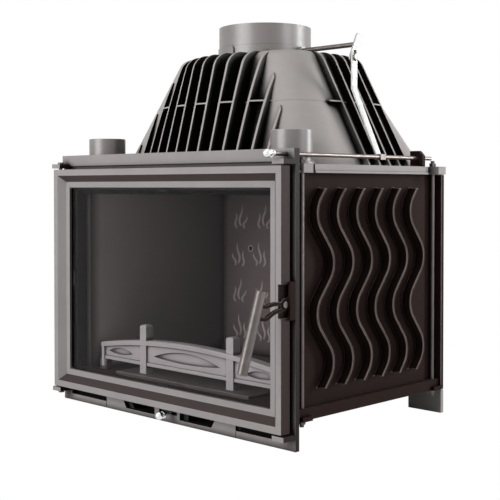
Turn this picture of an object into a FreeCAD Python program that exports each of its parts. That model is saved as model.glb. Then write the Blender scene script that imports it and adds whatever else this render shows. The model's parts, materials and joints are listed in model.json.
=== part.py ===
import FreeCAD, Part
import math
import os
import re

Vector = FreeCAD.Vector

# Driving dimensions: millimetres, and degrees where the name says lean, slope, tilt or angle
sizes = {
    # door: a bevelled cast frame round a ceramic pane
    "front_reach": 204,
    "door_width": 680,
    "door_height": 475,
    "door_thick": 23,
    "door_base": 34,
    "door_gap": 9,
    "door_rim": 13,
    "bevel_width": 14,
    "bevel_depth": 14,
    "lip_width": 12,
    "lip_thick": 3,
    "tape_thick": 2,
    "glass_lap": 7,
    "seal_inset": 14,
    "seal_width": 10,
    "clip_length": 30,
    "clip_thick": 2,
    "clip_reach": 7,
    "clip_screw": 5,
    # hinge
    "hinge_inset": 10,
    "hinge_pin": 8,
    "pin_depth": 20,
    "pin_head": 4,
    "lug_width": 28,
    "lug_thick": 9,
    "lug_gap": 3,
    # latch: a lever in a notch of the door edge, hooked behind a keeper
    "latch_height": 230,
    "latch_pin": 8,
    "latch_setback": 11,
    "latch_pin_depth": 10,
    "notch_depth": 7,
    "notch_above": 36,
    "notch_below": 24,
    "lever_thick": 6,
    "lever_hub": 22,
    "prong_width": 7,
    "prong_bend": 18,
    "hook_start": 8,
    "hook_gap": 2,
    "hook_thick": 4.5,
    "hook_rest": 0.6,
    "hook_arm": 8,
    "grip_diameter": 18,
    "grip_stand": 56,
    "grip_above": 28,
    "grip_below": 118,
    "grip_lean": 18.5,
    "keeper_pin": 6,
    "keeper_thick": 5,
    "keeper_depth": 14,
    "keeper_reach": 11,
    # front plate
    "plate_margin": 6,
    "plate_thick": 10,
    "plate_upstand": 27,
    "fascia_height": 23,
    "fascia_proud": 4,
    "mouth_margin": 44,
    "mouth_sill": 34,
    "strip_height": 14,
    "slit_width": 1.6,
    # shell
    "shell_inset": 15,
    "shell_depth": 443,
    "shell_wall": 8,
    "wall_height": 435,
    "floor_low": 58,
    "floor_thick": 10,
    "roof_thick": 10,
    "back_thick": 10,
    "foot_width": 83,
    "rim_reach": 15,
    "rim_above": 4,
    "rim_below": 8,
    "roof_rim_drop": 6,
    "roof_lip_reach": 2,
    "roof_lip_height": 4,
    "rim_notch": 14,
    "ear_reach": 8,
    "rear_ear_reach": 16,
    "ear_length": 26,
    # wavy ribs on the sides and the back
    "rib_height": 20,
    "back_rib_height": 15,
    "rib_thick": 5,
    "rib_front": 75,
    "rib_rear": 83,
    "back_rib_inset": 97,
    "wave_reach": 23,
    "wave_slope": 38,
    "rib_end": 34,
    # tie rods
    "tie_diameter": 8,
    "tie_inset": 22,
    "tie_rear_inset": 13,
    "nut_width": 13,
    "nut_height": 7,
    "tie_end": 5,
    # finned hood
    "hood_margin": 25,
    "hood_front_margin": 93,
    "hood_overhang": 15,
    "hood_height": 237,
    "hood_front_lean": 14.5,
    "hood_side_lean": 28,
    "hood_corner": 79,
    "hood_rear_corner": 32,
    "hood_top_corner": 70,
    "hood_shoulder": 26,
    "hood_wall": 8,
    "hood_crown": 12,
    "passage_inset": 40,
    "fin_thick": 4.5,
    "fin_shoulder": 42,
    "front_fin_pitch": 34,
    "front_fin_depth": 43,
    "front_fin_run": 245,
    "front_fin_top_run": 125,
    "side_fin_pitch": 33,
    "side_fin_depth": 18,
    "side_fin_run": 96,
    "side_fin_bow": 3,
    "side_fin_top_bow": 14,
    "side_fin_shift": 14,
    "web_rise": 128,
    "web_thick": 3,
    # flue collar and air spigots
    "collar_diameter": 200,
    "collar_wall": 5,
    "collar_height": 65,
    "stop_height": 20,
    "stop_step": 2,
    "lug_plate_width": 15,
    "lug_plate_proud": 4,
    "spigot_diameter": 80,
    "spigot_wall": 4,
    "spigot_height": 64,
    "spigot_clear": 5.5,
    "spigot_angle": 64.4,
    "spigot_flange": 3,
    "spigot_flange_thick": 5,
    # flue damper and its control
    "shaft_diameter": 10,
    "shaft_rise": 9,
    "disc_diameter": 144,
    "disc_thick": 4,
    "disc_tilt": 12,
    "boss_diameter": 18,
    "boss_length": 12,
    "crank_stand": 152,
    "crank_radius": 30,
    "crank_angle": 25,
    "crank_above": 24,
    "crank_tail": 10,
    "crank_width": 18,
    "bar_thick": 4,
    "bar_width": 16,
    "bar_knee": 61,
    "bolt_diameter": 6,
    "bolt_play": 1.6,
    "bolt_head": 4,
    "rod_diameter": 8,
    "rod_rise": 17,
    "rod_inset": 14,
    "rod_tail": 41,
    "knob_diameter": 16,
    "knob_neck": 7,
    "rod_front": 6,
    "clamp_size": 11,
    "bracket_stand": 61,
    "bracket_thick": 8,
    "bracket_width": 32,
    "bracket_height": 32,
    "bracket_cut": 10,
    # firebox lining and fire bed
    "lining_thick": 12,
    "lining_gap": 17,
    "lining_drop": 33,
    "lining_front": 18,
    "baffle_thick": 8,
    "baffle_depth": 285,
    "air_hole": 8,
    "air_hole_pitch": 78,
    "air_hole_rise": 254,
    "grate_width": 400,
    "grate_depth": 360,
    "grate_thick": 7,
    "grate_front": 20,
    "slot_width": 9,
    "slot_pitch": 22,
    "slot_length": 110,
    "well_width": 330,
    "well_depth": 300,
    "well_setback": 70,
    "guard_width": 546,
    "guard_thick": 12,
    "guard_setback": 42,
    "guard_low": 17,
    "guard_end_height": 36,
    "guard_crown": 22,
    "post_size": 20,
    "post_height": 103,
    "post_spread": 131,
    "post_chamfer": 3,
    "guard_rail": 10,
    "guard_rail_proud": 5,
    "guard_bead": 7,
    "guard_bead_proud": 2,
    "guard_recess": 5,
    "tongue_thick": 9,
    "tongue_reach": 4,
    "tongue_height": 44,
    "tongue_drop": 16,
    "seat_depth": 16,
    "seat_height": 23,
    "seat_prong": 7,
    # air chamber, ash pan and air slider
    "ash_width": 390,
    "ash_depth": 428,
    "ash_low": 2,
    "ash_wall": 4,
    "pan_margin": 8,
    "pan_height": 40,
    "pan_wall": 2,
    "window_near": 38,
    "window_width": 100,
    "window_low": 9,
    "window_height": 15,
    "window_slant": 9,
    "slider_half": 150,
    "slider_thick": 3,
    "slider_height": 20,
    "slider_rest": 14,
    "slot_left": 24,
    "slot_right": 30,
    "stem_diameter": 6,
    "stem_height": 20,
    "air_knob_stand": 32,
    "rail_thick": 3,
    "rail_extra": 30,
    "duct_depth": 105,
    "duct_height": 29,
    "duct_sheet": 2,
    "duct_slot": 5,
    # clearances
    "touch_gap": 0.3,
    "run_gap": 0.05,
    "slide_gap": 0.5,
}

doc = FreeCAD.newDocument("fireplace_insert")
sheet = doc.addObject("Spreadsheet::Sheet", "Sizes")
for row, (alias, number) in enumerate(sizes.items(), start=1):
    sheet.set(f"A{row}", alias)
    sheet.set(f"B{row}", str(number))
    sheet.setAlias(f"B{row}", alias)
doc.recompute()

nodes = []


def size(alias):
    return float(getattr(sheet, alias))


def scoped(formula):
    return re.sub(r"[a-z_]+", lambda word: f"Sizes.{word[0]}" if word[0] in sizes else word[0], formula)


def bind(item, target, formula):
    item.setExpression(target, scoped(formula))


# Keeps an object as a sub-part under its own name
def keep(item, label):
    item.Label = label
    nodes.append(item)
    return item


# Low and high limits of a span on one side of the middle plane
def span(sign, inner, outer):
    if sign > 0:
        return f"{inner}", f"{outer}"
    return f"-({outer})", f"-({inner})"


def both(half):
    return f"-({half})", f"{half}"


def slab(name, x, y, z):
    box = doc.addObject("Part::Box", name)
    for axis, side, (low, high) in zip("xyz", ("Length", "Width", "Height"), (x, y, z)):
        bind(box, side, f"({high}) - ({low})")
        bind(box, f"Placement.Base.{axis}", low)
    return box


turns = {
    "x": FreeCAD.Rotation(Vector(0, 1, 0), 90),
    "y": FreeCAD.Rotation(Vector(1, 0, 0), -90),
    "z": FreeCAD.Rotation(),
}


# Round bar along one axis, from low to high, with its centre line at the two other places
def bar(name, radius, axis, low, high, first, second):
    rod = doc.addObject("Part::Cylinder", name)
    rod.Placement.Rotation = turns[axis]
    bind(rod, "Radius", radius)
    bind(rod, "Height", f"({high}) - ({low})")
    bind(rod, f"Placement.Base.{axis}", low)
    for other, place in zip([letter for letter in "xyz" if letter != axis], (first, second)):
        bind(rod, f"Placement.Base.{other}", place)
    return rod


def fuse(name, *items):
    union = doc.addObject("Part::MultiFuse", name)
    union.Shapes = list(items)
    return union


def cut(name, base, *tools):
    difference = doc.addObject("Part::Cut", name)
    difference.Base = base
    difference.Tool = tools[0] if len(tools) == 1 else fuse(f"{name}_tools", *tools)
    return difference


def group(name, *items):
    cluster = doc.addObject("Part::Compound", name)
    cluster.Links = list(items)
    return cluster


def solid(name, shape):
    item = doc.addObject("Part::Feature", name)
    item.Shape = shape
    return item


def closed_face(points):
    return Part.Face(Part.makePolygon(points + points[:1]))


# Places along the depth, counted from the door's face
door_face = "(-front_reach)"
door_back = "(-front_reach + door_thick)"
plate_face = "(-front_reach + door_thick + door_gap)"
plate_back = "(-front_reach + door_thick + door_gap + plate_thick)"
back_face = "(-front_reach + door_thick + door_gap + plate_thick + shell_depth)"
back_rear = "(-front_reach + door_thick + door_gap + plate_thick + shell_depth + back_thick)"

hood_deep = "(shell_depth - hood_front_margin + hood_overhang)"
flue_y = f"({plate_back} + hood_front_margin + {hood_deep} / 2)"

# Places across the width and up the height
door_half = "(door_width / 2)"
plate_half = "(door_width / 2 + plate_margin)"
shell_half = "(door_width / 2 - shell_inset)"
rim_half = f"({shell_half} + rim_reach)"
hood_half = f"({shell_half} - hood_margin)"
door_top = "(door_base + door_height)"
floor_top = "(floor_low + floor_thick)"
roof_low = "(floor_low + floor_thick + wall_height)"
roof_top = "(floor_low + floor_thick + wall_height + roof_thick)"
rim_low = "(floor_low - rim_below)"
plate_top = f"({roof_top} + plate_upstand)"
crown_top = f"({roof_top} + hood_height)"
rod_z = f"({roof_top} + rod_rise)"
rod_x = f"({rim_half} - rod_inset)"
shaft_z = f"({crown_top} + shaft_rise)"
hinge_x = f"({door_half} - hinge_inset)"
hinge_y = f"({door_face} + door_thick / 2)"
latch_y = f"({door_face} + latch_setback)"
latch_z = "(door_base + latch_height)"
spigot_arm = "(hood_corner + spigot_diameter / 2 + spigot_flange + spigot_clear)"
spigot_x = f"({hood_half} - hood_corner + {spigot_arm} * cos(spigot_angle * 1 deg))"
spigot_y = f"({plate_back} + hood_front_margin + hood_corner - {spigot_arm} * sin(spigot_angle * 1 deg))"
tie_x = f"({shell_half} + rim_reach / 2)"
tie_places = (f"({plate_back} + tie_inset)", f"({back_face} - tie_rear_inset)")


# Front plate: cast frame with the mouth, hinge lugs, fascia and air windows
def window(name, sign, shift, near, low, high, y):
    # A window of the air inlet, whose outer end slants
    shape = doc.addObject("Part::Wedge", name)
    shape.Placement.Rotation = FreeCAD.Rotation(Vector(1, 0, 0), 90)
    inner = f"{shift} + {sign} * ({near})"
    top_end = f"{shift} + {sign} * ({near} + window_width)"
    low_end = f"{shift} + {sign} * ({near} + window_width - window_slant)"
    first, second = (inner, top_end) if sign > 0 else (top_end, inner)
    lower_first, lower_second = (inner, low_end) if sign > 0 else (low_end, inner)
    limits = {
        "Xmin": lower_first, "Xmax": lower_second, "X2min": first, "X2max": second,
        "Ymin": low, "Ymax": high,
        "Zmin": f"-({y[1]})", "Zmax": f"-({y[0]})", "Z2min": f"-({y[1]})", "Z2max": f"-({y[0]})",
    }
    for limit, formula in limits.items():
        bind(shape, limit, formula)
    return shape


def front_plate():
    through = (f"{plate_face} - 1", f"{plate_back} + 1")
    body = slab("plate_slab", both(plate_half), (plate_face, plate_back), ("0", plate_top))
    fascia = slab("fascia", both(plate_half), (f"{plate_face} - fascia_proud", plate_face),
                  (f"{plate_top} - fascia_height", plate_top))
    pieces = [body, fascia]
    holes = []
    lug_levels = {
        "lower": ("door_base - lug_gap - lug_thick", "door_base - lug_gap"),
        "upper": (f"{door_top} + lug_gap", f"{door_top} + lug_gap + lug_thick"),
    }
    for side, sign in (("left", -1), ("right", 1)):
        for level, (low, high) in lug_levels.items():
            across = span(sign, f"{plate_half} - lug_width", plate_half)
            pieces.append(slab(f"lug_{level}_{side}", across, (door_face, plate_face), (low, high)))
            holes.append(bar(f"lug_bore_{level}_{side}", "hinge_pin / 2 + run_gap", "z",
                             f"{low} - 1", f"{high} + 1", f"{sign} * {hinge_x}", hinge_y))
        holes.append(window(f"air_window_{side}", sign, "0", "window_near", "window_low",
                            "window_low + window_height", through))
        outer = span(sign, "ash_width / 2 + slit_width", f"{plate_half} - lug_width")
        holes.append(slab(f"skirt_gap_{side}", outer, through, ("strip_height", "door_base - lug_gap")))
        slit = span(sign, "ash_width / 2", "ash_width / 2 + slit_width")
        holes.append(slab(f"skirt_slit_{side}", slit, through, ("-1", "door_base - lug_gap")))
    mouth = f"{door_half} - mouth_margin"
    holes.append(slab("mouth", both(mouth), through,
                      ("door_base + mouth_sill", f"{door_top} - mouth_margin")))
    holes.append(slab("stem_slot", ("-slot_left", "slot_right"), through,
                      ("stem_height - stem_diameter / 2 - slide_gap",
                       "stem_height + stem_diameter / 2 + slide_gap")))
    holes.append(bar("rod_bore_front", "rod_diameter / 2 + run_gap", "y",
                     f"{plate_face} - fascia_proud - 1", f"{plate_back} + 1", rod_x, rod_z))
    keep(cut("front_plate", fuse("front_plate_cast", *pieces), *holes), "front_plate")


# Sides to which the crests of a rib swing, from the top down
crest_sides = (-1, 1, -1, 1)


# Edge of a wave: arcs at the crests, joined by slanting lines, moved sideways by offset
def wave_edge(offset):
    slope = math.radians(size("wave_slope"))
    reach = size("wave_reach")
    half = (size("wall_height") - 2 * size("rib_end")) / len(crest_sides)
    radius = (half / 2 * math.tan(slope) - reach) / (1 / math.cos(slope) - 1)
    points = []
    edges = []
    for crest, side in enumerate(crest_sides):
        bend = radius + side * offset
        middle = Vector(0, side * (reach - radius), -half * (crest + 0.5))
        start = middle + Vector(0, side * bend * math.cos(slope), bend * math.sin(slope))
        apex = middle + Vector(0, side * bend, 0)
        finish = middle + Vector(0, side * bend * math.cos(slope), -bend * math.sin(slope))
        if crest == 0:
            points.append(Vector(0, start.y + side * start.z * math.tan(slope), 0))
        edges.append(Part.makeLine(points[-1], start))
        edges.append(Part.Arc(start, apex, finish).toShape())
        points.append(finish)
        if crest == len(crest_sides) - 1:
            drop = finish.z + half * len(crest_sides)
            points.append(Vector(0, finish.y - side * drop * math.tan(slope), finish.z - drop))
            edges.append(Part.makeLine(finish, points[-1]))
    return edges, points[0], points[-1]


# One upright wavy rib, standing out along X from the plane X = 0, its top end at the origin
def wavy_rib(height):
    half_thick = size("rib_thick") / 2
    near, near_top, near_low = wave_edge(-half_thick)
    far, far_top, far_low = wave_edge(half_thick)
    caps = [Part.makeLine(near_top, far_top), Part.makeLine(near_low, far_low)]
    outline = Part.Wire(Part.__sortEdges__(near + far + caps))
    return Part.Face(outline).extrude(Vector(height, 0, 0))


def rib_row(count, first, last, height, quarter_turn, place):
    ribs = []
    for number in range(count):
        rib = wavy_rib(height)
        rib.rotate(Vector(), Vector(0, 0, 1), quarter_turn)
        rib.translate(place(first + (last - first) * number / (count - 1)))
        ribs.append(rib)
    return Part.makeCompound(ribs)


def shell_plates():
    rib_top = size("floor_low") + size("floor_thick") + size("wall_height") - size("rib_end")
    steps = ("door_thick", "door_gap", "plate_thick", "shell_depth")
    back = sum(size(step) for step in steps) - size("front_reach")
    front_rib = back - size("shell_depth") + size("rib_front")
    half = size("door_width") / 2 - size("shell_inset")
    for side, sign in (("left", -1), ("right", 1)):
        across = span(sign, f"{shell_half} - shell_wall", shell_half)
        wall = slab(f"wall_{side}", across, (plate_back, back_face), (floor_top, roof_low))
        ribs = rib_row(6, front_rib, back - size("rib_rear"), sign * size("rib_height"), 0,
                       lambda along: Vector(sign * half, along, rib_top))
        keep(fuse(f"side_plate_{side}", wall, solid(f"ribs_{side}", ribs)), f"side_plate_{side}")

    rear = back + size("back_thick")
    panel = slab("back_panel", both(plate_half), (back_face, back_rear),
                 (rim_low, f"{roof_low} - roof_rim_drop"))
    edge = half - size("back_rib_inset")
    ribs = rib_row(9, -edge, edge, size("back_rib_height"), 90, lambda along: Vector(along, rear, rib_top))
    keep(fuse("back_plate", panel, solid("ribs_back", ribs)), "back_plate")
    feet = []
    for side, sign in (("left", -1), ("right", 1)):
        across = span(sign, f"{plate_half} - foot_width", plate_half)
        feet.append(slab(f"foot_{side}", across, (back_face, back_rear), ("0", rim_low)))
    keep(group("rear_feet", *feet), "rear_feet")


# Ears for the tie rods of the floor or the roof plate, and bores through its rim
def rod_ears(name, low, high, rim_top, reaches):
    ears = []
    bores = []
    for side, sign in (("left", -1), ("right", 1)):
        for place, where, reach in zip(("front", "rear"), tie_places, reaches):
            across = span(sign, rim_half, f"{rim_half} + {reach}")
            along = (f"{where} - ear_length / 2", f"{where} + ear_length / 2")
            ears.append(slab(f"{name}_ear_{place}_{side}", across, along, (low, high)))
            bores.append(bar(f"{name}_bore_{place}_{side}", "tie_diameter / 2 + run_gap", "z",
                             f"{low} - 1", f"{rim_top} + 1", f"{sign} * {tie_x}", where))
    return ears, bores


def floor_and_roof():
    rims = []
    for side, sign in (("left", -1), ("right", 1)):
        across = span(sign, shell_half, rim_half)
        rims.append(slab(f"floor_rim_{side}", across, (plate_back, back_face),
                         (rim_low, f"{floor_top} + rim_above")))
    deck = slab("floor_deck", both(shell_half), (plate_back, back_face), ("floor_low", floor_top))
    ears, bores = rod_ears("floor", rim_low, "floor_low", f"{floor_top} + rim_above",
                           ("ear_reach", "ear_reach"))
    well = slab("ash_well", both("well_width / 2"),
                (f"{plate_back} + well_setback", f"{plate_back} + well_setback + well_depth"),
                ("floor_low - 1", f"{floor_top} + 1"))
    keep(cut("bottom_plate", fuse("floor_cast", deck, *rims, *ears), well, *bores), "bottom_plate")

    drop = f"{roof_low} - roof_rim_drop"
    rims = [slab("roof_rim_rear", both(rim_half), (back_face, f"{back_rear} + 5"), (drop, roof_top))]
    for side, sign in (("left", -1), ("right", 1)):
        across = span(sign, shell_half, rim_half)
        rims.append(slab(f"roof_rim_{side}", across, (plate_back, back_face), (drop, roof_top)))
        lip = span(sign, rim_half, f"{rim_half} + roof_lip_reach")
        rims.append(slab(f"roof_lip_{side}", lip, (plate_back, back_face), (drop, f"{drop} + roof_lip_height")))
    deck = slab("roof_deck", both(shell_half), (plate_back, back_face), (roof_low, roof_top))
    ears, bores = rod_ears("roof", drop, roof_top, roof_top, ("ear_reach", "rear_ear_reach"))
    half_x = f"({hood_half} - passage_inset)"
    half_y = f"({hood_deep} / 2 - passage_inset)"
    passage = slab("gas_passage", both(half_x), (f"{flue_y} - {half_y}", f"{flue_y} + {half_y}"),
                   (f"{roof_low} - 1", f"{roof_top} + 1"))
    for side, sign in (("left", -1), ("right", 1)):
        bores.append(bar(f"spigot_bore_{side}", "spigot_diameter / 2 - spigot_wall", "z",
                         f"{roof_low} - 1", f"{roof_top} + 1", f"{sign} * {spigot_x}", spigot_y))
        # The rim is notched beside each ear
        across = span(sign, f"{shell_half} + shell_wall / 2", f"{rim_half} + roof_lip_reach + 1")
        front_end = f"({tie_places[0]} + ear_length / 2)"
        rear_end = f"({tie_places[1]} - ear_length / 2)"
        for place, along in (("front", (front_end, f"{front_end} + rim_notch")),
                             ("rear", (f"{rear_end} - rim_notch", rear_end))):
            bores.append(slab(f"rim_notch_{place}_{side}", across, along, (f"{drop} - 1", f"{roof_top} + 1")))
    keep(cut("top_plate", fuse("roof_cast", deck, *rims, *ears), passage, *bores), "top_plate")


def tie_rods():
    rods = []
    nuts = []
    for side, sign in (("left", -1), ("right", 1)):
        for place, where in zip(("front", "rear"), tie_places):
            at = (f"{sign} * {tie_x}", where)
            rods.append(bar(f"tie_{place}_{side}", "tie_diameter / 2", "z",
                            f"{rim_low} - nut_height - tie_end", f"{roof_top} + nut_height + tie_end", *at))
            for level, low in (("low", f"{rim_low} - nut_height"), ("high", roof_top)):
                name = f"nut_{level}_{place}_{side}"
                hexagon = doc.addObject("Part::Prism", f"{name}_blank")
                hexagon.Polygon = 6
                bind(hexagon, "Circumradius", "nut_width / 2 / cos(30 deg)")
                bind(hexagon, "Height", "nut_height")
                for axis, formula in zip("xyz", (*at, low)):
                    bind(hexagon, f"Placement.Base.{axis}", formula)
                bore = bar(f"{name}_bore", "tie_diameter / 2 + run_gap", "z",
                           f"{low} - 1", f"{low} + nut_height + 1", *at)
                nuts.append(cut(name, hexagon, bore))
    keep(group("tie_rods", *rods), "tie_rods")
    keep(group("tie_rod_nuts", *nuts), "tie_rod_nuts")


# Rectangle with one radius for its two front corners and one for its two rear corners
def rounded_rectangle(half_x, half_y, front, rear, level):
    corners = []
    for side_x, side_y, radius in ((1, 1, rear), (-1, 1, rear), (-1, -1, front), (1, -1, front)):
        middle = Vector(side_x * (half_x - radius), side_y * (half_y - radius), level)
        beside = middle + Vector(side_x * radius, 0, 0)
        ahead = middle + Vector(0, side_y * radius, 0)
        between = middle + Vector(side_x, side_y, 0) * (radius * math.sqrt(0.5))
        first, last = (beside, ahead) if side_x == side_y else (ahead, beside)
        corners.append((first, between, last))
    edges = []
    for number, (first, between, last) in enumerate(corners):
        edges.append(Part.Arc(first, between, last).toShape())
        edges.append(Part.makeLine(last, corners[(number + 1) % 4][0]))
    return Part.Wire(edges)


# Tapered block with rounded corners, on the level 0, leaning in on all four sides and thinner by trim
def tapered_block(half_x, half_y, height, foot, trim):
    lean_x = math.tan(math.radians(size("hood_side_lean")))
    lean_y = math.tan(math.radians(size("hood_front_lean")))
    base = rounded_rectangle(half_x + foot * lean_x, half_y + foot * lean_y,
                             size("hood_corner") - trim, size("hood_rear_corner") - trim, -foot)
    top_corner = size("hood_top_corner") - trim
    top = rounded_rectangle(half_x - height * lean_x, half_y - height * lean_y,
                            top_corner, top_corner, height)
    return Part.makeLoft([base, top], True, True)


# Space that the fins of one side fill: a bowed front over a deep root, rounded at the top. It faces +X and
# leans with that side; base and top each give the half length of the bow and its rise
def fin_field(half, depth, lean, base, top):
    height = size("hood_height")
    slant = math.tan(math.radians(lean))
    wires = []
    for level, (run, bow) in ((0, base), (height, top)):
        crest = half + depth - level * slant
        root = crest - bow - size("fin_shoulder")
        first = Vector(crest - bow, -run, level)
        last = Vector(crest - bow, run, level)
        front = Part.Arc(first, Vector(crest, 0, level), last).toShape()
        rear = Part.makePolygon([last, Vector(root, run, level), Vector(root, -run, level), first])
        wires.append(Part.Wire([front] + rear.Edges))
    field = Part.makeLoft(wires, True, True)
    brow = [edge for edge in field.Edges
            if edge.BoundBox.ZMin > height - 0.01 and edge.BoundBox.XMax > crest - 0.01]
    return field.makeFillet(size("fin_shoulder"), brow)


# Fins of one side, with a web in every second gap counted from the middle
def fin_row(field, count, pitch):
    box = field.BoundBox
    thick = size("fin_thick")
    blanks = []
    for number in range(count):
        place = (number - (count - 1) / 2) * pitch
        blanks.append(Part.makeBox(box.XLength, thick, box.ZLength,
                                   Vector(box.XMin, place - thick / 2, box.ZMin)))
    for number in range(count - 1):
        if number % 2 == (count // 2 - 1) % 2:
            place = (number - (count - 1) / 2) * pitch
            blanks.append(Part.makeBox(box.XLength, pitch, size("web_thick"),
                                       Vector(box.XMin, place, size("web_rise"))))
    fins = []
    for blank in blanks:
        fins.extend(field.common(blank).Solids)
    return fins


# Hood: lofted casting with smooth corners, with cooling fins on its front and its sides
def hood():
    half_x = size("door_width") / 2 - size("shell_inset") - size("hood_margin")
    half_y = (size("shell_depth") - size("hood_front_margin") + size("hood_overhang")) / 2
    height = size("hood_height")
    block = tapered_block(half_x, half_y, height, 0, 0)
    rim = [edge for edge in block.Edges if edge.BoundBox.ZMin > height - 0.01]
    block = block.makeFillet(size("hood_shoulder"), rim)

    depth = size("front_fin_depth")
    front = fin_field(half_y, depth, size("hood_front_lean"),
                      (size("front_fin_run"), depth), (size("front_fin_top_run"), depth))
    side = fin_field(half_x, size("side_fin_depth"), size("hood_side_lean"),
                     (size("side_fin_run"), size("side_fin_bow")),
                     (size("side_fin_run"), size("side_fin_top_bow")))
    front_row = [fin.rotated(Vector(), Vector(0, 0, 1), 270)
                 for fin in fin_row(front, 14, size("front_fin_pitch"))]
    right_row = [fin.translated(Vector(0, size("side_fin_shift"), 0))
                 for fin in fin_row(side, 6, size("side_fin_pitch"))]
    left_row = [fin.mirror(Vector(), Vector(1, 0, 0)) for fin in right_row]
    for row in (front_row, right_row, left_row):
        block = block.multiFuse(row)

    wall_x = size("hood_wall") / math.cos(math.radians(size("hood_side_lean")))
    wall_y = size("hood_wall") / math.cos(math.radians(size("hood_front_lean")))
    cavity = tapered_block(half_x - wall_x, half_y - wall_y,
                           height - size("hood_crown"), 1, size("hood_wall"))
    throat = Part.makeCylinder(size("collar_diameter") / 2 - size("collar_wall") - 3, height + 1)
    casting = solid("hood", block.cut([cavity, throat]).removeSplitter())
    bind(casting, "Placement.Base.y", flue_y)
    bind(casting, "Placement.Base.z", roof_top)
    keep(casting, "hood")


def collar_and_spigots():
    at = ("0", flue_y)
    tube = bar("collar_tube", "collar_diameter / 2", "z", crown_top, f"{crown_top} + collar_height", *at)
    stop = bar("collar_stop", "collar_diameter / 2 + stop_step", "z",
               crown_top, f"{crown_top} + stop_height", *at)
    bore = bar("collar_bore", "collar_diameter / 2 - collar_wall", "z",
               f"{crown_top} - 1", f"{crown_top} + collar_height + 1", *at)
    shaft_bore = bar("collar_shaft_bore", "shaft_diameter / 2 + run_gap", "x",
                     "-collar_diameter", "collar_diameter", flue_y, shaft_z)
    # A cast lug on the front of the collar, round at its top
    proud = f"({flue_y} - collar_diameter / 2 - stop_step - lug_plate_proud)"
    lug_top = f"({crown_top} + stop_height - lug_plate_width / 2 - touch_gap)"
    lug_root = f"({flue_y} - collar_diameter / 2 + collar_wall)"
    lug = slab("collar_lug", both("lug_plate_width / 2"), (proud, lug_root), (crown_top, lug_top))
    lug_round = bar("collar_lug_round", "lug_plate_width / 2", "y", proud, lug_root, "0", lug_top)
    casting = fuse("collar_cast", tube, stop, lug, lug_round)
    keep(cut("flue_collar", casting, bore, shaft_bore), "flue_collar")

    bosses = []
    for side, sign in (("left", -1), ("right", 1)):
        across = span(sign, "collar_diameter / 2 - collar_wall / 2", "collar_diameter / 2 + boss_length")
        boss = bar(f"boss_blank_{side}", "boss_diameter / 2", "x", *across, flue_y, shaft_z)
        seat = bar(f"boss_seat_{side}", "collar_diameter / 2 + stop_step", "z",
                   f"{crown_top} - 1", f"{crown_top} + collar_height + 1", *at)
        hole = bar(f"boss_bore_{side}", "shaft_diameter / 2 + run_gap", "x",
                   "-collar_diameter", "collar_diameter", flue_y, shaft_z)
        foot = slab(f"boss_foot_{side}", ("-collar_diameter", "collar_diameter"),
                    (f"{flue_y} - boss_diameter", f"{flue_y} + boss_diameter"),
                    (f"{crown_top} - boss_diameter", crown_top))
        bosses.append(cut(f"boss_{side}", boss, seat, hole, foot))
    keep(group("shaft_bosses", *bosses), "shaft_bosses")

    for side, sign in (("left", -1), ("right", 1)):
        at = (f"{sign} * {spigot_x}", spigot_y)
        tube = bar(f"spigot_tube_{side}", "spigot_diameter / 2", "z",
                   roof_top, f"{roof_top} + spigot_height", *at)
        flange = bar(f"spigot_flange_{side}", "spigot_diameter / 2 + spigot_flange", "z",
                     roof_top, f"{roof_top} + spigot_flange_thick", *at)
        bore = bar(f"spigot_hole_{side}", "spigot_diameter / 2 - spigot_wall", "z",
                   f"{roof_top} - 1", f"{roof_top} + spigot_height + 1", *at)
        casting = fuse(f"spigot_cast_{side}", tube, flange)
        keep(cut(f"air_spigot_{side}", casting, bore), f"air_spigot_{side}")


# Damper: a disc on a cross shaft in the collar, turned by a crank outside the hood
crank_x = "(collar_diameter / 2 + crank_stand)"


def turned(item, angle, formulas):
    item.Placement.Rotation = FreeCAD.Rotation(Vector(1, 0, 0), angle)
    for axis, formula in zip("xyz", formulas):
        bind(item, f"Placement.Base.{axis}", formula)


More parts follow.
